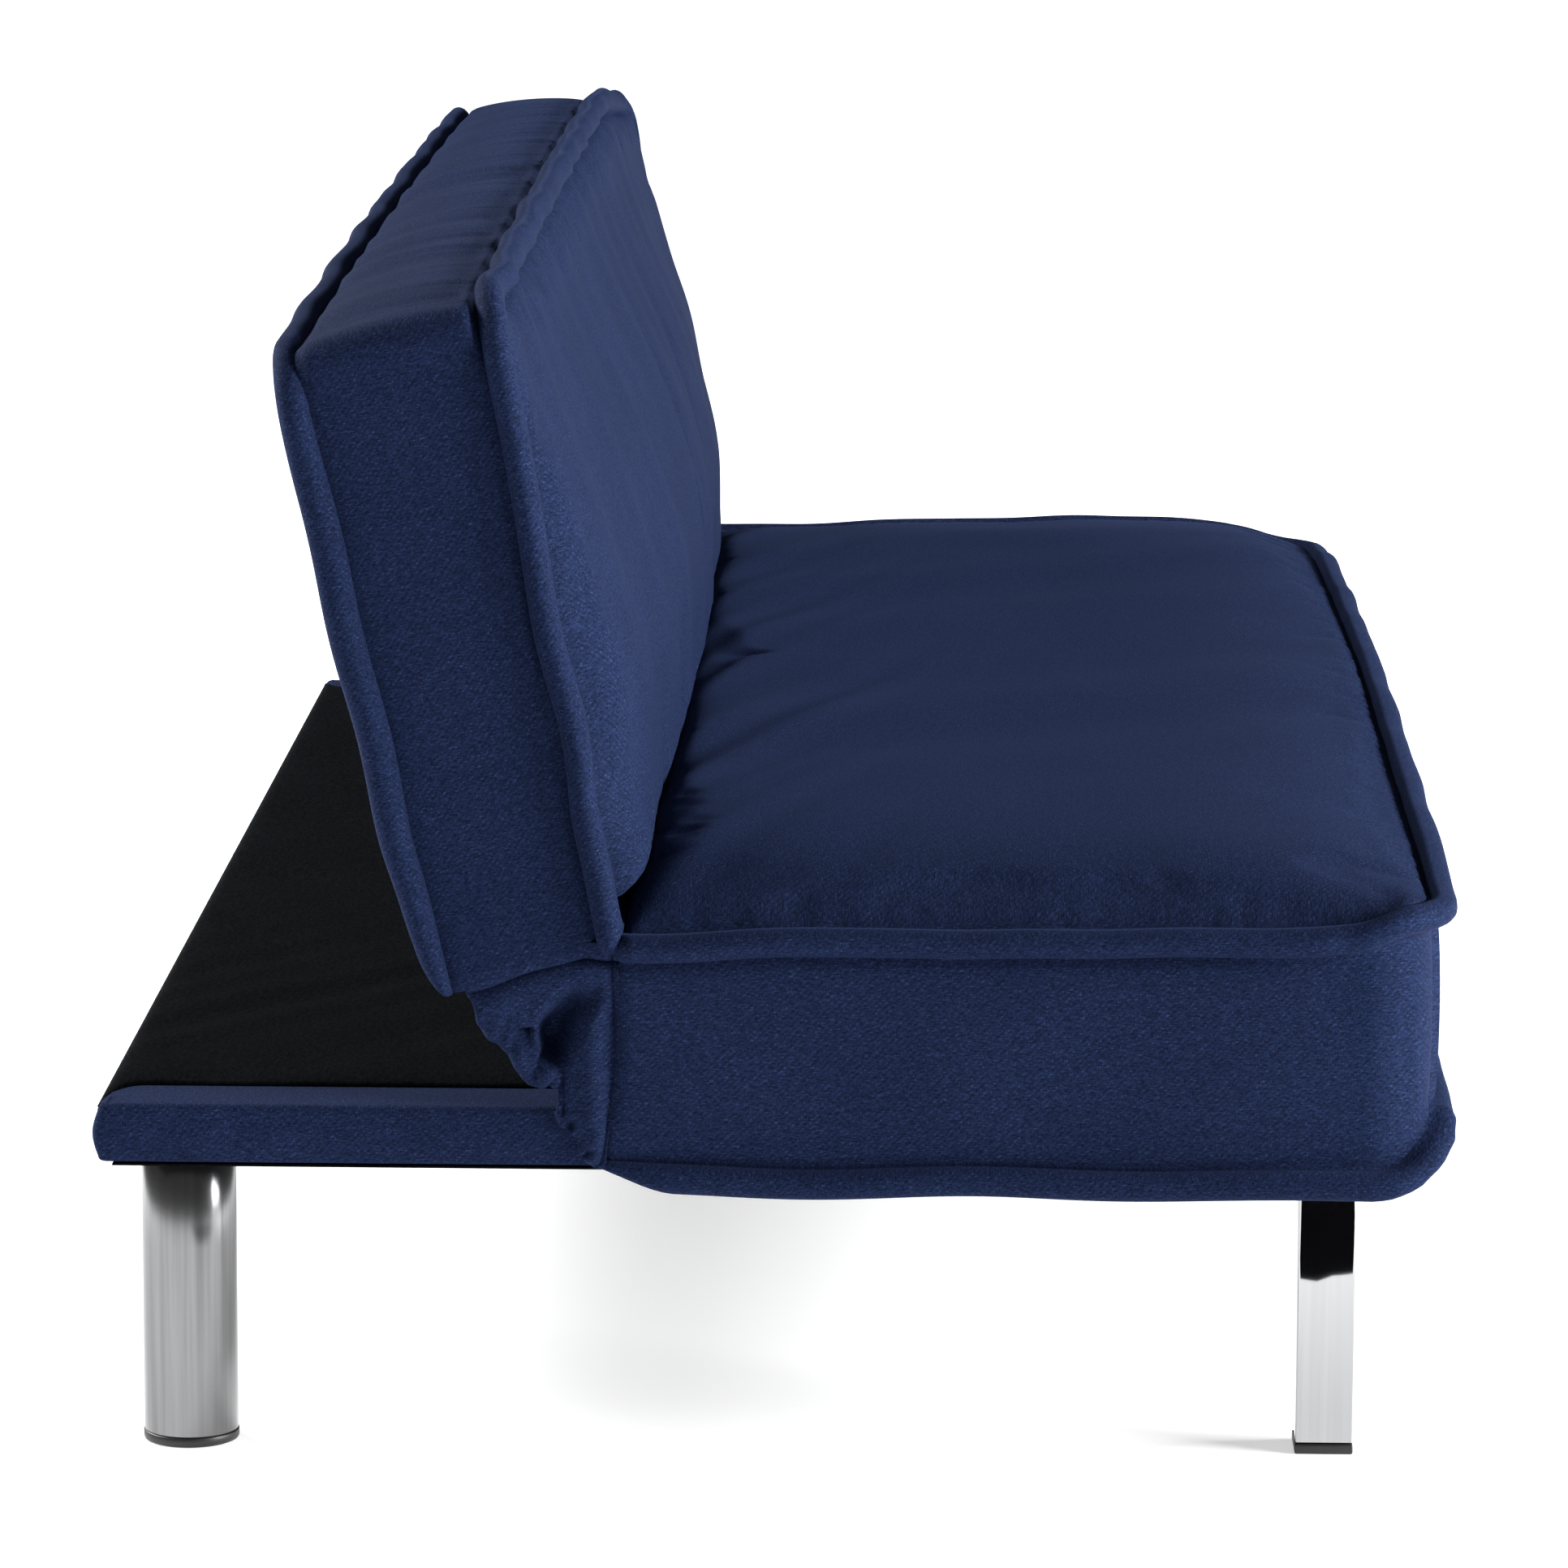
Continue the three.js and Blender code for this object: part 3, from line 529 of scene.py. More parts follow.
def seat_cushion():
    """The boxed seat: a stuffed flange round its lower and upper edge, and a crown."""
    guide, _ = rounded_loop(BOXING_X, SEAT_FRONT, SEAT_REAR, SEAT_GUIDE_RADIUS,
                            SEAT_REAR_RADIUS)
    travel = distance_along(guide)
    x, y = guide.T
    open_side = smoothstep(SEAT_REAR - 1, SEAT_REAR - 9, y)  # the rear has no flange
    corner = np.exp(-((np.abs(x) - BOXING_X + 20) / 45) ** 2) * (y < SEAT_FRONT + 70)
    gathers = waves(travel, 8, 11) * corner

    def ring(out, height, radius):
        base, normal = rounded_loop(BOXING_X, SEAT_FRONT, SEAT_REAR, radius, SEAT_REAR_RADIUS)
        height = np.broadcast_to(height, x.shape)
        flat = base + np.broadcast_to(out, x.shape)[:, None] * normal
        lean_back = 9 * smoothstep(275, 205, height) * smoothstep(SEAT_REAR - 70, SEAT_REAR, y)
        return np.column_stack([flat[:, 0], flat[:, 1] + lean_back, height])

    def flange(edge, centre, half_thickness, radius, lift=0.0):
        turned = []
        for out, height in flange_rows(0, 1, 1):
            share = np.clip((out - GROOVE) / (1 - GROOVE), 0, 1)
            turned.append(ring(GROOVE + (edge - GROOVE) * share,
                               centre + half_thickness * height + share * lift, radius))
        return turned

    # lower flange: thin at the rear, and drawn up along the front
    full = smoothstep(SEAT_REAR + 10, SEAT_REAR - 45, y)
    round_corner = np.clip((LOW_RISE_START - y) / LOW_RISE_LENGTH, 0, 1)
    drawn_up = LOW_RISE * (1 - np.sqrt(1 - round_corner ** 2))
    low_centre = LOW_FLANGE_Z - 9.5 * full + drawn_up + 1.1 * waves(travel, 150, 4)
    low_half = LOW_THIN + LOW_FULL * full
    low_out = LOW_THIN + (FLANGE_OUT - LOW_THIN) * full
    low_edge = low_centre + low_half + 3
    rings = [ring(-34, LOW_FLANGE_Z + 0.2, SEAT_LOW_RADIUS),
             ring(-14, LOW_FLANGE_Z - 0.4 + 0.5 * drawn_up, SEAT_LOW_RADIUS)]
    low_uneven = 0.5 * waves(travel, 150, 3) + 0.4 * gathers
    rings += flange(low_out + low_uneven, low_centre, low_half, SEAT_LOW_RADIUS)

    # boxing: a soft uneven bulge, drawn in a little towards the front of each end
    high_centre = seat_flange_height(x, y) + 0.4 * waves(travel, 130, 7)
    high_edge = high_centre - 13
    drawn_in = 6 * smoothstep(-250, -436, y) * (np.abs(x) > BOXING_X - 60)
    for share in np.linspace(0, 1, SEAT_BOXING_ROWS):
        swell = math.sin(math.pi * share) ** 0.7
        uneven = 0.8 * waves(travel + 70 * share, 190, 8) * swell
        rings.append(ring((2.6 * swell + uneven - 1.2) * open_side - drawn_in,
                          low_edge + (high_edge - low_edge) * share, 50 + 4 * share))

    # upper flange: softly scalloped, and gathered round the front corners
    scallop = 0.5 * waves(travel, 190, 5) + 0.4 * gathers
    rings += flange(FLANGE_OUT * open_side + scallop - 3.5 * corner, high_centre, HIGH_HALF,
                    SEAT_HIGH_RADIUS, 0.5 * scallop)

    # crown: it climbs from the flange's seam to one soft height, more slowly at the right end
    rings.append(ring(-6, high_centre + 1, SEAT_HIGH_RADIUS))
    rings.append(ring(-SEAT_CREST_IN, high_centre + 3, SEAT_HIGH_RADIUS))
    top = ring_to_grid(rings[-1])
    gx, gy = top[..., 0], top[..., 1]
    to_front, to_rear = gy - SEAT_FRONT - SEAT_CREST_IN, SEAT_REAR - 2 - gy
    to_end = BOXING_X - SEAT_CREST_IN - np.abs(gx)
    end_reach = np.where(gx > 0, 170, 50)
    share = rise(to_front, 38) * rise(to_rear, 12) * rise(to_end, end_reach)
    lip = rise(border_distance(top), 5)
    top[..., 2] += (6 - 4 * smoothstep(500, 850, gx)) * lip
    top[..., 2] += (SEAT_TOP - top[..., 2]) * share * lip
    pucker = (np.exp(-to_front / 13) * waves(gx, 19, 23)
              + np.exp(-np.abs(to_end) / 13) * waves(gy, 19, 24)) * rise(border_distance(top), 2)
    top = settle_patch(top)
    sat_in = np.exp(-((gy + 120) / 190) ** 2) * smoothstep(800, 300, np.abs(gx))
    crease = waves(gx * 0.35 + gy, 55, 21) * smoothstep(-140, 60, gy) * share
    top[..., 2] += (0.5 * pucker - 3.0 * sat_in * share + 0.8 * crease
                    + 1.0 * waves(gx + 0.6 * gy, 300, 22) * share)
    seat = make_object("seat_cushion_cover", *closed_cushion(rings, ring_to_grid(rings[0]), top),
                       NAVY)
    lay_weave(seat)
    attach(seat, "base")
    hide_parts("seat_cushion")


# -------------------- backrest cushion

# depths count back from the backrest's front edge, heights up its lean from its foot
BACK_TOP = 438  # the boxing's top
REAR_TOP = 433  # the rear flange's seam along the top
BOXING_REAR, BOXING_FRONT = 96.5, 3  # the depths that the boxing spans
BACK_BOXING_ROWS = 25
BACK_RADII = (6, 36)  # foot and top corner radii of the plain loop
REAR_RADII = (6, 46)  # of the rear flange
BOXING_RADII = (5, 20)  # of the boxing
FRONT_RADII = (12, 54)  # of the front flange
CROWN_RADII = (18, 54)  # of the seam that the crown starts from
BACK_CREST_IN = 8  # how far in from the boxing the crown starts
CURL_PLACE = (BOXING_X, 408)  # the far top corner, which curls forward
FOOT_BULGE_HEIGHT = 52

# how deep the rear flange reaches, up the height of the backrest: it tapers to its foot
REAR_FLANGE_SEAM = 98.5
REAR_FLANGE_BACK = [(0, 103), (8, 108), (20, 113), (45, 117), (90, 120), (200, 122), (350, 121.5),
                    (440, 119)]
# where the front flange's foot starts, against how far it stands ahead of its seam
FRONT_FLANGE_FOOT = [(-4, 11), (0, 7), (4, 3), (10, 2), (16, 6), (20, 16), (23, 26)]
# share of the crown's fullness up the height: it hangs low
BACK_FULLNESS = [(30, 0.50), (45, 0.58), (74, 0.70), (110, 0.86), (176, 1.0), (230, 0.93),
                 (289, 0.70), (340, 0.36), (365, 0.22), (411, 0.05), (440, 0)]


def back_place(points):
    """From the backrest's (x, up the back, forward) to the sofa's x, y, z."""
    x, w, forward = points[..., 0], points[..., 1], points[..., 2]
    depth = -forward
    lean = np.clip((BACK_SQUARE - depth) / BACK_SQUARE, 0, 1)
    depth = depth - lean * BACK_TAPER * w
    sine, cosine = math.sin(BACK_LEAN), math.cos(BACK_LEAN)
    return np.stack([x, BACK_FOOT[0] + depth * cosine + w * sine,
                     BACK_FOOT[1] - depth * sine + w * cosine], -1)


def back_cushion():
    """The boxed backrest: flanges round its rear and front edges, and a crowned front."""
    guide, guide_normal = rounded_loop(BOXING_X, 3, BACK_TOP, *BACK_RADII)
    travel = distance_along(guide)
    gx, gw = guide.T
    upper = smoothstep(40, 120, gw)
    top_side = np.clip(guide_normal[:, 1], 0, 1) ** 2
    bow = 5 * np.clip(1 - (gx / BOXING_X) ** 2, 0, 1) * top_side
    arch = 12 * rise(BOXING_X + 5 - np.abs(gx), 70) * top_side
    # the front flange sinks towards the far end, and the boxing's edges tilt along it
    droop = 19 * smoothstep(500, BOXING_X, gx) ** 2 * top_side
    rear_tilt = (4 + 7 * gx / BOXING_X) * top_side
    front_tilt = (3.5 + 4 * gx / BOXING_X) * top_side - droop

    def ring(depth, out, low, high, radii=BACK_RADII, sideways=0.0, forward=0.0):
        loop, normal = rounded_loop(BOXING_X + out, low, high + out, radii[0], radii[1] + out)
        flat = loop + np.broadcast_to(sideways + bow, gx.shape)[:, None] * normal
        return np.column_stack([flat, np.broadcast_to(forward - depth, gx.shape)])

    # rear panel and rear flange
    rings = [ring(102, -34, 6, REAR_TOP + 1), ring(101, -14, 5, REAR_TOP + 1)]
    rear_half = (through(gw, REAR_FLANGE_BACK) - REAR_FLANGE_SEAM) / 2
    rear_edge = 0.6 * waves(travel, 190, 31) * upper
    rear_push = 0.9 * waves(travel, 150, 32) * upper
    for out, height in flange_rows(0, -1, FLANGE_OUT):
        share = (out - GROOVE) / (FLANGE_OUT - GROOVE)
        depth = REAR_FLANGE_SEAM + rear_half * (1 - height)
        rings.append(ring(depth, out, -1, REAR_TOP, REAR_RADII, rear_edge * share + rear_tilt,
                          rear_push))

    # boxing: flat at the ends, arched over the top, where it puckers towards the front
    for share in np.linspace(0.0, 1.0, BACK_BOXING_ROWS):
        swell = math.sin(math.pi * share) ** 0.7
        depth = BOXING_REAR + (BOXING_FRONT - BOXING_REAR) * share
        ridge = 1.3 * waves(travel + 10 * share, 120, 33)
        gather = share ** 2 * (0.7 * waves(travel, 36, 34) + 0.5 * waves(travel, 13, 35))
        arched = max(math.sin(math.pi * share) ** 0.4, 0.5 * smoothstep(0.4, 0.6, share))
        out = 1.5 * swell + arch * arched + rear_tilt * (1 - share) + front_tilt * share
        out = out + (ridge + gather) * min(1, 2.5 * swell) * top_side
        low = 2 - 4 * max(0, 1 - 1.8 * share)
        rings.append(ring(depth, 0, low, BACK_TOP, BOXING_RADII, out))

    # front flange: its foot is cut back to clear the seat
    front_edge = 0.8 * waves(travel, 180, 36) * upper
    curl = (np.exp(-((gx - CURL_PLACE[0]) / 45) ** 2)
            * np.exp(-((gw - CURL_PLACE[1]) / 42) ** 2))
    front_push = 1.0 * waves(travel, 140, 37) * upper + 8 * curl
    for out, depth in flange_rows(-10.5, -9.5, FLANGE_OUT):
        share = (out - GROOVE) / (FLANGE_OUT - GROOVE)
        low = through(-depth, FRONT_FLANGE_FOOT)
        sideways = front_edge * share + front_tilt
        rings.append(ring(depth, out, low, BACK_TOP, FRONT_RADII, sideways, front_push))

    # crown: it hangs low, and bulges over the seat at the near end's foot
    for depth, out, low in ((-10.5, -6, 30), (-9.5, -BACK_CREST_IN, 32)):
        rings.append(ring(depth, out, low, BACK_TOP, CROWN_RADII, front_tilt, front_push))
    front = ring_to_grid(rings[-1])
    x, w = front[..., 0], front[..., 1]
    to_end = BOXING_X - BACK_CREST_IN - np.abs(x)
    fullness = 25 * rise(to_end, 22) + 27 * rise(to_end, 420)
    share = through(w, BACK_FULLNESS) * rise(border_distance(front), 6)
    pucker = (np.exp(-(BACK_TOP + 6 - w) / 16) * waves(x, 21, 38)
              + np.exp(-np.abs(to_end) / 13) * waves(w, 24, 39)) * rise(border_distance(front), 3)
    foot = (15 * np.exp(-((w - FOOT_BULGE_HEIGHT) / 20) ** 2 - to_end / 90)
            * rise(to_end, 10) * (x < 0))
    front[..., 2] += (foot + 9.5 * rise(border_distance(front), 6) + fullness * share + 0.7 * pucker
                      + 0.9 * waves(x + 0.5 * w, 300, 40) * share)
    placed = settle_patch(back_place(front))
    points, faces = closed_cushion([back_place(r) for r in rings],
                                   back_place(ring_to_grid(rings[0])), placed)
    back = make_object("back_cushion_cover", points, faces, NAVY)
    lay_weave(back, -BACK_LEAN)
    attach(back, "backrest")
    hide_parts("back_cushion", "back_panel")


# -------------------- legs and feet

TURNED_SIDES = 96  # facets round a turned piece
BEVEL_STEPS = 4
CAP_HEIGHT = 7  # how much of a foot shows below its leg
LEG_BEVEL, CAP_BEVEL = 1.6, 1.3
TUBE_WALL, TUBE_EDGE = 1.5, 0.5  # the round tube's wall, and its rounded edge
CAP_PLUG_IN = 2.5  # how far inside its rim a round cap's plug stands


def lathe(name, profile, centre, material):
    """A closed turned piece round Z, from (radius, height) points."""
    turn = np.linspace(0, 2 * np.pi, TURNED_SIDES, endpoint=False)
    points = [(centre[0] + r * math.cos(a), centre[1] + r * math.sin(a), z)
              for r, z in profile for a in turn]
    faces = []
    for row in range(len(profile)):
        after = (row + 1) % len(profile)
        for i in range(TURNED_SIDES):
            j = (i + 1) % TURNED_SIDES
            faces.append((row * TURNED_SIDES + i, row * TURNED_SIDES + j,
                          after * TURNED_SIDES + j, after * TURNED_SIDES + i))
    return make_object(name, points, faces, material)


def ride_for(piece, node):
    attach(piece, "base")
    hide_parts(node)


def round_leg(side):
    low, high = (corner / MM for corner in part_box(f"leg_rear_{side}"))
    centre, radius = (low + high) / 2, (high.x - low.x) / 2
    inner, rim = radius - TUBE_WALL, radius - TUBE_EDGE
    profile = [
        (rim, low.z), (radius - 0.15, low.z + 0.15), (radius, low.z + TUBE_EDGE),
        (radius, low.z + 60), (radius, low.z + 130), (radius, high.z - TUBE_EDGE),
        (rim, high.z), (inner, high.z), (inner, low.z),
    ]
    leg = lathe(f"leg_tube_rear_{side}", profile, centre, CHROME_ROUND)
    ride_for(leg, f"leg_rear_{side}")


def round_foot(side):
    low, high = (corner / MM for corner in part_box(f"foot_rear_{side}"))
    centre, radius = (low + high) / 2, (high.x - low.x) / 2
    step, plug, axis = low.z + CAP_HEIGHT, radius - CAP_PLUG_IN, 0.01
    profile = [
        (axis, low.z), (radius - 2.2, low.z), (radius - 0.6, low.z + 0.7), (radius, low.z + 2.4),
        (radius, step - 0.8), (radius - 0.5, step - 0.1), (plug, step), (plug, high.z),
        (axis, high.z),
    ]
    foot = lathe(f"foot_cap_rear_{side}", profile, centre, PLASTIC)
    ride_for(foot, f"foot_rear_{side}")


def bevelled_box(name, low, high, bevel, material):
    mesh = bmesh.new()
    bmesh.ops.create_cube(mesh, size=1)
    size, centre = high - low, (low + high) / 2
    bmesh.ops.transform(mesh, verts=mesh.verts, matrix=Matrix.Translation(centre)
                        @ Matrix.Diagonal((*size, 1)))
    bmesh.ops.bevel(mesh, geom=mesh.edges[:], offset=bevel, segments=BEVEL_STEPS,
                    affect="EDGES", profile=0.5)
    points = [tuple(v.co) for v in mesh.verts]
    faces = [tuple(v.index for v in f.verts) for f in mesh.faces]
    mesh.free()
    return make_object(name, points, faces, material)


def square_leg(side):
    low, high = (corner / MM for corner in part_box(f"leg_front_{side}"))
    leg = bevelled_box(f"leg_tube_front_{side}", low, high, LEG_BEVEL, CHROME_SQUARE)
    ride_for(leg, f"leg_front_{side}")
    low, high = (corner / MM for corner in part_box(f"foot_front_{side}"))
    cap_top = Vector((high.x, high.y, low.z + CAP_HEIGHT))
    foot = bevelled_box(f"foot_cap_front_{side}", low, cap_top, CAP_BEVEL, PLASTIC)
    ride_for(foot, f"foot_front_{side}")


# -------------------- platform

DUST_CLOTH_DROP = 1.9  # how far the dust cloth hangs below its tacked place
DUST_CLOTH_SPREAD = 9.0  # and reaches out under the trim
CLOTH_REACH = 825  # the black cloth's half length, short of the trim
CORNER_START, CORNER_LENGTH = 424, 24  # from this y the black cloth widens to the corner
CLOTH_WIDENS = 52  # by this much at each end
CLOTH_ROWS, CLOTH_COLUMNS = 90, 260
TRIM_RADIUS = 7.0  # the trim's rear corners, seen from above
END_STRIP, REAR_STRIP = 64.0, 9.0  # how far it reaches in over the platform
TRIM_SOFT = 6.0  # radius of its upper edge


def strip_width(y):
    """How far the trim reaches in over the platform, narrowing round the rear corner."""
    share = np.clip((y - CORNER_START) / CORNER_LENGTH, 0, 1)
    return REAR_STRIP + (END_STRIP - REAR_STRIP) * math.sqrt(1 - share * share)


def trim_section(strip, top, bottom, bulge):
    """The trim's closed outline, as (out, up): over the top, down the face and under."""
    soft = TRIM_SOFT
    outline = [(-strip, top - 6), (-strip, top - 1.2), (-strip + 1.5, top)]
    outline += [(-strip + 1.5 + (strip - 1.5 - soft) * s, top + 0.6 * math.sin(math.pi * s))
                for s in np.linspace(0.08, 1, 9)]
    outline += [(-soft + soft * math.sin(a), top - soft + soft * math.cos(a))
                for a in np.radians([15, 30, 45, 60, 75, 90])]
    outline += [(bulge * math.sin(math.pi * s), top - soft - (top - bottom - 9) * s)
                for s in np.linspace(0.1, 1, 8)]
    outline += [(-3 + 3 * math.cos(a), bottom + 3 - 3 * math.sin(a))
                for a in np.radians([20, 40, 60, 80])]
    outline += [(-8.5, bottom), (-8.5, bottom + 2), (-6, bottom + 4), (-5, top - 7.5)]
    return outline


def platform_trim():
    """Fabric wrapped round the platform's two end rails and its rear rail."""
    low, high = (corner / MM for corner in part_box("platform_trim"))
    radius = TRIM_RADIUS
    turns = np.radians(np.linspace(0, 90, 9))
    # each station is x, y, the way out in x and y, and how far the trim reaches in
    stations = [(low.x, y, -1.0, 0.0, strip_width(y))
                for y in np.linspace(low.y, high.y - radius, 110)]
    stations += [(low.x + radius * (1 - math.cos(a)), high.y - radius * (1 - math.sin(a)),
                  -math.cos(a), math.sin(a), REAR_STRIP) for a in turns[1:-1]]
    stations += [(x, high.y, 0.0, 1.0, REAR_STRIP)
                 for x in np.linspace(low.x + radius, 0, 150)[:-1]]
    stations += [(-x, y, -ax, ay, width) for x, y, ax, ay, width in
                 [(0, high.y, 0.0, 1.0, REAR_STRIP)] + stations[::-1]]
    points, faces = [], []
    for number, (px, py, ax, ay, width) in enumerate(stations):
        bulge = 1.2 + 2.6 * ay
        slack = 0.5 * math.sin(number * 0.37) + 0.4 * math.sin(number * 0.11)
        section = trim_section(width, high.z, low.z - 1.2, bulge + slack)
        points += [(px + ax * a, py + ay * a, z) for a, z in section]
        count = len(section)
    for row in range(len(stations) - 1):
        for i in range(count):
            j = (i + 1) % count
            faces.append((row * count + i, row * count + j, (row + 1) * count + j,
                          (row + 1) * count + i))
    faces.append(tuple(range(count))[::-1])
    faces.append(tuple((len(stations) - 1) * count + i for i in range(count)))
    trim = make_object("platform_trim_fabric", points, faces, NAVY)
    recalculate(trim)
    lay_weave(trim)
    ride_for(trim, "platform_trim")


def grid_sheet(name, rows, thickness, material):
    """A thin closed sheet from rows of points, thickened on its inner side."""
    count_v, count_u = rows.shape[:2]
    index = np.arange(count_v * count_u).reshape(count_v, count_u)
    piece = make_object(name, rows.reshape(-1, 3), grid_quads(index).tolist(), material)
    apply_modifier(piece, "SOLIDIFY", thickness=thickness * MM, offset=-1)
    recalculate(piece)
    piece.data.shade_smooth()
    return piece


def dust_cloth():
    """The black cloth tacked under the frame, hanging a little and showing along the ends."""
    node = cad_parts["dust_cloth"]
    piece = bpy.data.objects.new("dust_cover", node.data.copy())
    piece.matrix_world = node.matrix_world
    bpy.context.scene.collection.objects.link(piece)
    low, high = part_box("dust_cloth")
    for vertex in piece.data.vertices:
        if abs(vertex.co.x) > high.x - 2 * MM:
            vertex.co.x += math.copysign(DUST_CLOTH_SPREAD * MM, vertex.co.x)
        vertex.co.z -= DUST_CLOTH_DROP * MM
    piece.data.materials.clear()
    piece.data.materials.append(BLACK)
    lay_weave(piece)
    ride_for(piece, "dust_cloth")


def platform_cloth():
    """The black cloth over the platform board: taut, a little puffed, loose at its edges."""
    low, high = (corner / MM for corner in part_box("platform_cloth"))
    v = np.linspace(low.y - 3, high.y + 1, CLOTH_ROWS)[:, None]
    u = np.linspace(-1, 1, CLOTH_COLUMNS)[None, :]
    spread = np.clip((v - CORNER_START) / CORNER_LENGTH, 0, 1)
    half = CLOTH_REACH + CLOTH_WIDENS * (1 - np.sqrt(1 - spread ** 2))
    x, y = half * u, np.broadcast_to(v, (CLOTH_ROWS, CLOTH_COLUMNS))
    inside = rise(half - np.abs(x), 14) * rise(high.y + 1 - y, 10)
    z = (high.z - 0.8 + 4.2 * inside + 0.8 * inside * waves(x + 0.5 * y, 260, 51)
         + 0.7 * inside * waves(y * 0.8 - 0.3 * x, 75, 52)
         + 0.6 * inside * waves(y + 0.9 * x, 110, 53) * np.exp(-((x + 560) / 260) ** 2))
    z = z - 4 * smoothstep(high.y - 5, high.y + 1, y)
    sheet = grid_sheet("platform_cover", np.stack([x, y, z], -1), 1.2, BLACK)
    lay_weave(sheet)
    ride_for(sheet, "platform_cloth")


# -------------------- fabric across the hinge

def curve_points(points, count):
    """Evenly numbered points along a smooth curve through given ones."""
    points = np.asarray(points, float)
    at = np.linspace(0, len(points) - 1, count)
    steps = np.arange(len(points))
    return np.stack([through(at, np.column_stack([steps, points[:, k]])) for k in (0, 1)], 1)


# (y, z) in millimetres, both from the backrest's rear corner to the foot of the seat's seam
GUSSET_ROOT = [(205, 333), (185, 338), (160, 346), (132, 354), (108, 352), (103, 330),
               (102, 290), (105, 255), (110, 225), (112, 205)]
GUSSET_HEM = [(204, 320), (199, 310), (196, 298), (189, 288), (179, 281), (170, 266),
              (164, 259), (157, 256), (149, 257), (143, 254), (143, 245), (145, 238),
              (140, 229), (132, 223), (129, 213), (125, 207), (119, 203)]
# the crease under the backrest as (y, z), and the one beside the seat as (z, y)
GUSSET_FOLD = [(108, 341), (124, 343), (156, 336), (169, 331), (204, 320)]
GUSSET_SEAM = [(203, 116), (215, 114), (236, 111), (257, 108), (290, 106), (340, 108)]
POCKET_START, POCKET_END = (127, 336), (157, 275)  # the deep fold's middle line
# its smaller hills and hollows: height, centre and half widths
GUSSET_HUMPS = [(6, (170, 273), (8, 9)), (5, (151, 265), (6, 6)), (3, (186, 312), (16, 12)),
                (-5, (158, 263), (2.5, 7)), (-7, (140, 259), (3, 11)),
                (-7, (135, 231), (3, 3.5)), (-5, (140, 241), (2, 5)),
                (-5, (124, 213), (2.5, 4))]
GUSSET_COLUMNS, GUSSET_ROWS = 190, 100
SHEET_THICKNESS = 1.4
CURTAIN_COLUMNS, CURTAIN_ROWS = 800, 30


def hump(y, z, centre, radii):
    """A smooth hill of height 1."""
    return np.exp(-((y - centre[0]) / radii[0]) ** 2 - ((z - centre[1]) / radii[1]) ** 2)


def main_pocket(y, z):
    """The deep fold: soft above and towards the seat, with a sharp lip at its lower rear."""
    start, end = np.array(POCKET_START), np.array(POCKET_END)
    length = np.hypot(*(end - start))
    along = (end - start) / length
    down = (y - start[0]) * along[0] + (z - start[1]) * along[1]
    rearward = -(y - start[0]) * along[1] + (z - start[1]) * along[0]
    lip = through(down, [(0, 6), (25, 13), (48, 13), (64, 3)])
    lip_width = through(down, [(0, 26), (30, 22), (47, 8), (62, 3)])
    ends = smoothstep(-8, 24, down) * smoothstep(length + 5, length - 13, down)
    return ends * smoothstep(-23, -3, rearward) * smoothstep(lip, lip - lip_width, rearward)


def gusset_depth(y, z):
    """How far the gusset's surface stands out (or falls in) at each (y, z)."""
    second = (smoothstep(159.5, 162, y) * np.exp(-(y - 161) / 8) * smoothstep(299, 296, z)
              * np.exp(-(296 - z) / 5))
    strip = np.exp(-((y - through(z, [(205, 119), (250, 121), (300, 123), (335, 125)])) / 9) ** 2)
    depth = -28 * main_pocket(y, z) - 10 * second + 5 * strip * smoothstep(350, 325, z)
    for height, centre, radii in GUSSET_HUMPS:
        depth += height * hump(y, z, centre, radii)
    below_fold = through(y, GUSSET_FOLD) - z
    past_seam = y - through(z, GUSSET_SEAM)
    return depth - 7 * np.exp(-np.abs(below_fold) / 2.4) - 5 * np.exp(-np.abs(past_seam) / 2.6)


def gusset(side):
    """The loose fabric triangle between backrest, seat and platform, drawn up in folds."""
    sign = -1 if side == "left" else 1
    hem = curve_points(GUSSET_HEM, GUSSET_COLUMNS)
    root = curve_points(GUSSET_ROOT, GUSSET_COLUMNS)
    v = np.linspace(0, 1, GUSSET_ROWS)[:, None]
    u = np.linspace(0, 1, GUSSET_COLUMNS)[None, :]
    y = root[:, 0] * (1 - v) + hem[:, 0] * v
    z = root[:, 1] * (1 - v) + hem[:, 1] * v
    to_hem = np.hypot(y - hem[:, 0], z - hem[:, 1])
    over_band = smoothstep(262, 246, z)  # where the hem lies on the trim
    ruffle = (1.1 + 0.9 * over_band) * waves(u * 260, 13, 61) * np.exp(-to_hem / 6)
    turned_in = (9 - 5.5 * over_band) * np.exp(-to_hem / 2.2)
    depth = (gusset_depth(y, z) * (1 - np.exp(-to_hem / 3.5)) - turned_in
             + ruffle + 0.35 * waves(y + 2 * z, 30, 62))
    x = sign * (BOXING_X - 1 + depth)
    sheet = grid_sheet(f"gusset_fabric_{side}", np.stack([x, y, z], -1),
                       SHEET_THICKNESS, NAVY)
    lay_weave(sheet)
    ride_for(sheet, f"gusset_{side}")
    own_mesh(sheet)


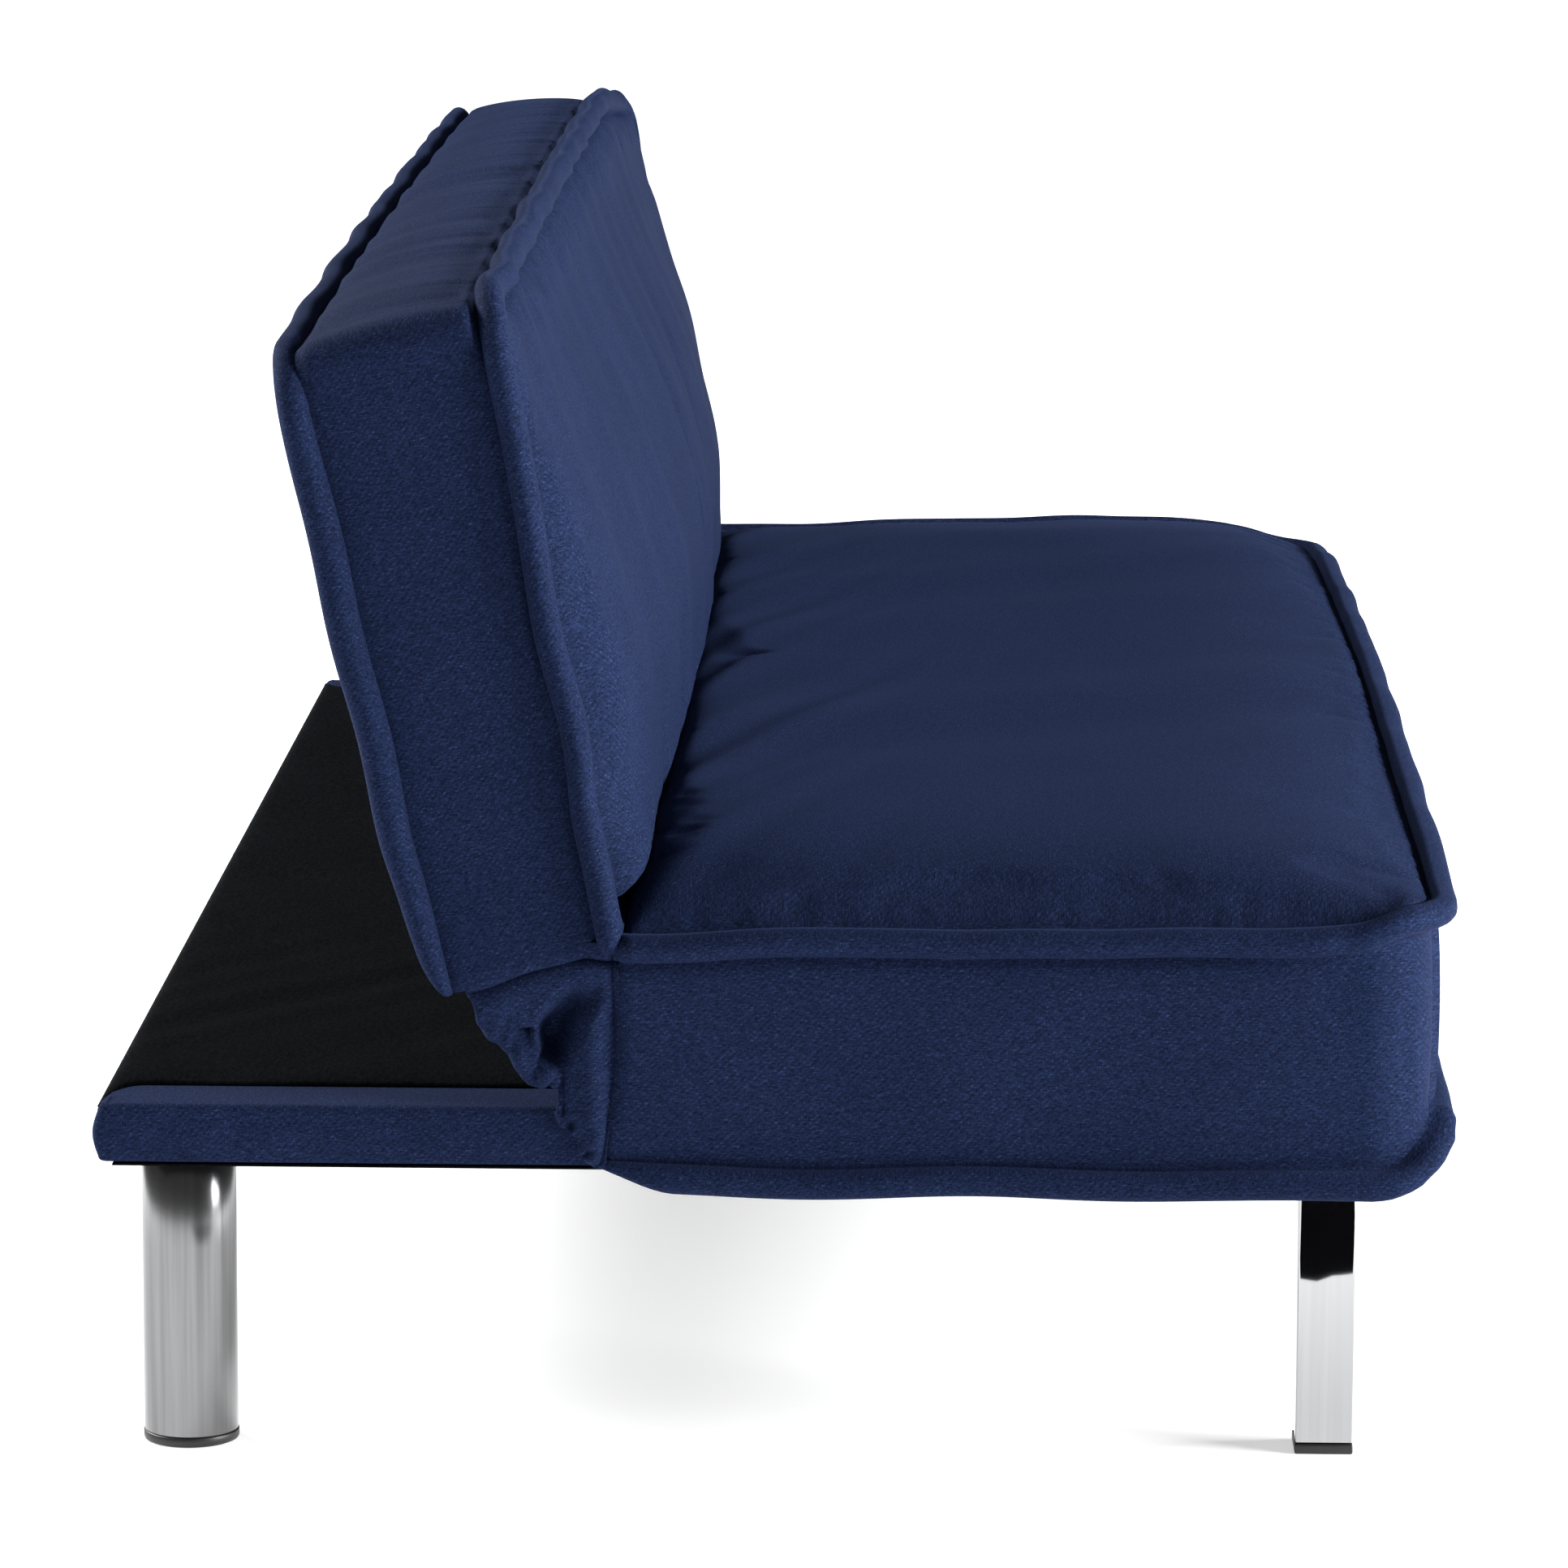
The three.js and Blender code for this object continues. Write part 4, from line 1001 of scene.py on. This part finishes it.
def curtain():
    """The gathered fabric that closes the wedge under the backrest along its length."""
    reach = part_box("hinge_bracket_right")[0].x / MM - 2  # it ends beside the hinges
    x = np.linspace(-reach, reach, CURTAIN_COLUMNS)[None, :]
    v = np.linspace(0, 1, CURTAIN_ROWS)[:, None]
    fold = (3.0 * waves(x, 34, 72) + 1.2 * waves(x, 14, 73)) * smoothstep(0.0, 0.6, v)
    sag = 15 * np.sin(np.pi * v)
    y = 198 - 75 * v - 0.7 * sag + 0.7 * fold
    z = 330 - 84 * v - 0.7 * sag + 0.6 * fold * (1 - v)
    points = np.stack([np.broadcast_to(x, y.shape), y, z], -1)
    sheet = grid_sheet("curtain_fabric", points, SHEET_THICKNESS, NAVY)
    lay_weave(sheet)
    ride_for(sheet, "curtain")
    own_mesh(sheet)


# -------------------- carried-over CAD nodes

NODE_MATERIALS = [
    (("rail_", "stringer_", "leg_block", "seat_rail", "back_stile", "back_rail"), PINE),
    (("platform_board",), HARDBOARD),
    (("seat_spring", "back_spring"), SPRING),
    (("leg_plate", "leg_bolt", "hinge_", "pawl_"), ZINC),
]


def dress_nodes():
    for prefixes, material in NODE_MATERIALS:
        for name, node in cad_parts.items():
            if name.startswith(prefixes):
                node.data.materials.clear()
                node.data.materials.append(material)


# -------------------- studio and camera

FLOOR_FADE = 3.2  # metres from the sofa to where the floor's painted glow is strongest
FLOOR_OUTLINE = [(-30e3, -40e3, 0), (40e3, -40e3, 0), (40e3, 40e3, 0), (-30e3, 40e3, 0)]
# the edge nearest the sofa sets how low the dark reflection reaches on each leg
CARD_OUTLINE = [(-1425, -1500, 2), (-3600, -1500, 2), (-3600, 60, 2), (-1440, 60, 2),
                (-1385, -350, 2), (-1425, -430, 2)]
WORLD_STRENGTH = 0.10
# name, place, target, size and watts
LIGHTS = [("key", (-1.35, -4.3, 1.6), (0, 0, 0.55), (3.0, 1.8), 560),
          ("top", (0.0, -1.2, 4.2), (0, 0, 0.3), (4.5, 2.0), 4),
          ("back", (0.9, 3.3, 2.5), (0.2, 0.2, 0.7), (3.6, 1.2), 320)]
CAMERA_PLACE = (-5.472, -0.1065, 1.2716)
CAMERA_TURN = (1.27, 10.02, 0.21)  # yaw, pitch and roll in degrees
CAMERA_LENS = 163.3

def area_light(name, place, target, size, energy):
    light = bpy.data.lights.new(name, "AREA")
    light.shape = "RECTANGLE"
    light.size, light.size_y = size
    light.energy = energy
    lamp = bpy.data.objects.new(name, light)
    bpy.context.scene.collection.objects.link(lamp)
    lamp.location = place
    lamp.rotation_euler = (Vector(target) - Vector(place)).to_track_quat("-Z", "Y").to_euler()


def floor():
    """A pale floor that glows, as painted light: least near the sofa, where the glow lightens the
    shadow under it, and most away from it, where it turns into a white backdrop.
    """
    material, shader = new_material("floor", (0.86, 0.86, 0.87), 0.85)
    nodes, links = nodes_and_links(material)
    place = nodes.new("ShaderNodeTexCoord")
    mapping = nodes.new("ShaderNodeMapping")
    mapping.inputs["Scale"].default_value = (1 / FLOOR_FADE, 1 / FLOOR_FADE, 1)
    ball = nodes.new("ShaderNodeTexGradient")
    ball.gradient_type = "SPHERICAL"
    links.new(place.outputs["Object"], mapping.inputs["Vector"])
    links.new(mapping.outputs["Vector"], ball.inputs["Vector"])
    # painted light: the floor glows at 1.15 far from the sofa and at 0.35 under its middle, which
    # lightens the sofa's shadow there
    near_sofa = combine(material, "MULTIPLY", ball.outputs["Fac"], 0.8)
    painted_glow = combine(material, "SUBTRACT", 1.15, near_sofa)
    links.new(painted_glow, shader.inputs["Emission Strength"])
    shader.inputs["Emission Color"].default_value = (1, 1, 1, 1)
    make_object("floor", FLOOR_OUTLINE, [(0, 1, 2, 3)], material, smooth=False)


def floor_card():
    """A dark card that only the polished legs see, reflected in their upper ends."""
    material, shader = new_material("floor_card", (0.004, 0.004, 0.005), 0.9)
    shader.inputs["Specular IOR Level"].default_value = 0
    face = tuple(range(len(CARD_OUTLINE)))
    card = make_object("floor_card", CARD_OUTLINE, [face], material, smooth=False)
    card.visible_camera = card.visible_diffuse = card.visible_shadow = False


def studio():
    floor()
    floor_card()
    world = bpy.data.worlds.new("studio")
    world.use_nodes = True
    background = world.node_tree.nodes["Background"]
    background.inputs["Color"].default_value = (1.0, 1.0, 1.0, 1)
    background.inputs["Strength"].default_value = WORLD_STRENGTH
    bpy.context.scene.world = world
    for light in LIGHTS:
        area_light(*light)
    bpy.context.scene.view_settings.view_transform = "Standard"


def camera():
    """At the sofa's left end, a little above it, looking along its length."""
    yaw, pitch, roll = (math.radians(a) for a in CAMERA_TURN)
    look = Vector((math.cos(yaw) * math.cos(pitch), math.sin(yaw) * math.cos(pitch),
                   -math.sin(pitch)))
    right = look.cross(Vector((0, 0, 1))).normalized()
    up = right.cross(look)
    rolled = right * math.cos(roll) + up * math.sin(roll)
    up = rolled.cross(look)
    data = bpy.data.cameras.new("camera")
    data.sensor_width = 36
    data.lens = CAMERA_LENS
    data.clip_end = 200
    lens = bpy.data.objects.new("camera", data)
    bpy.context.scene.collection.objects.link(lens)
    turn = Matrix((rolled, up, -look)).transposed()
    lens.matrix_world = Matrix.Translation(CAMERA_PLACE) @ turn.to_4x4()
    bpy.context.scene.camera = lens


camera()
studio()
dress_nodes()
seat_cushion()
back_cushion()
for leg_side in ("left", "right"):
    round_leg(leg_side)
    round_foot(leg_side)
    square_leg(leg_side)
    gusset(leg_side)
platform_trim()
platform_cloth()
dust_cloth()
curtain()
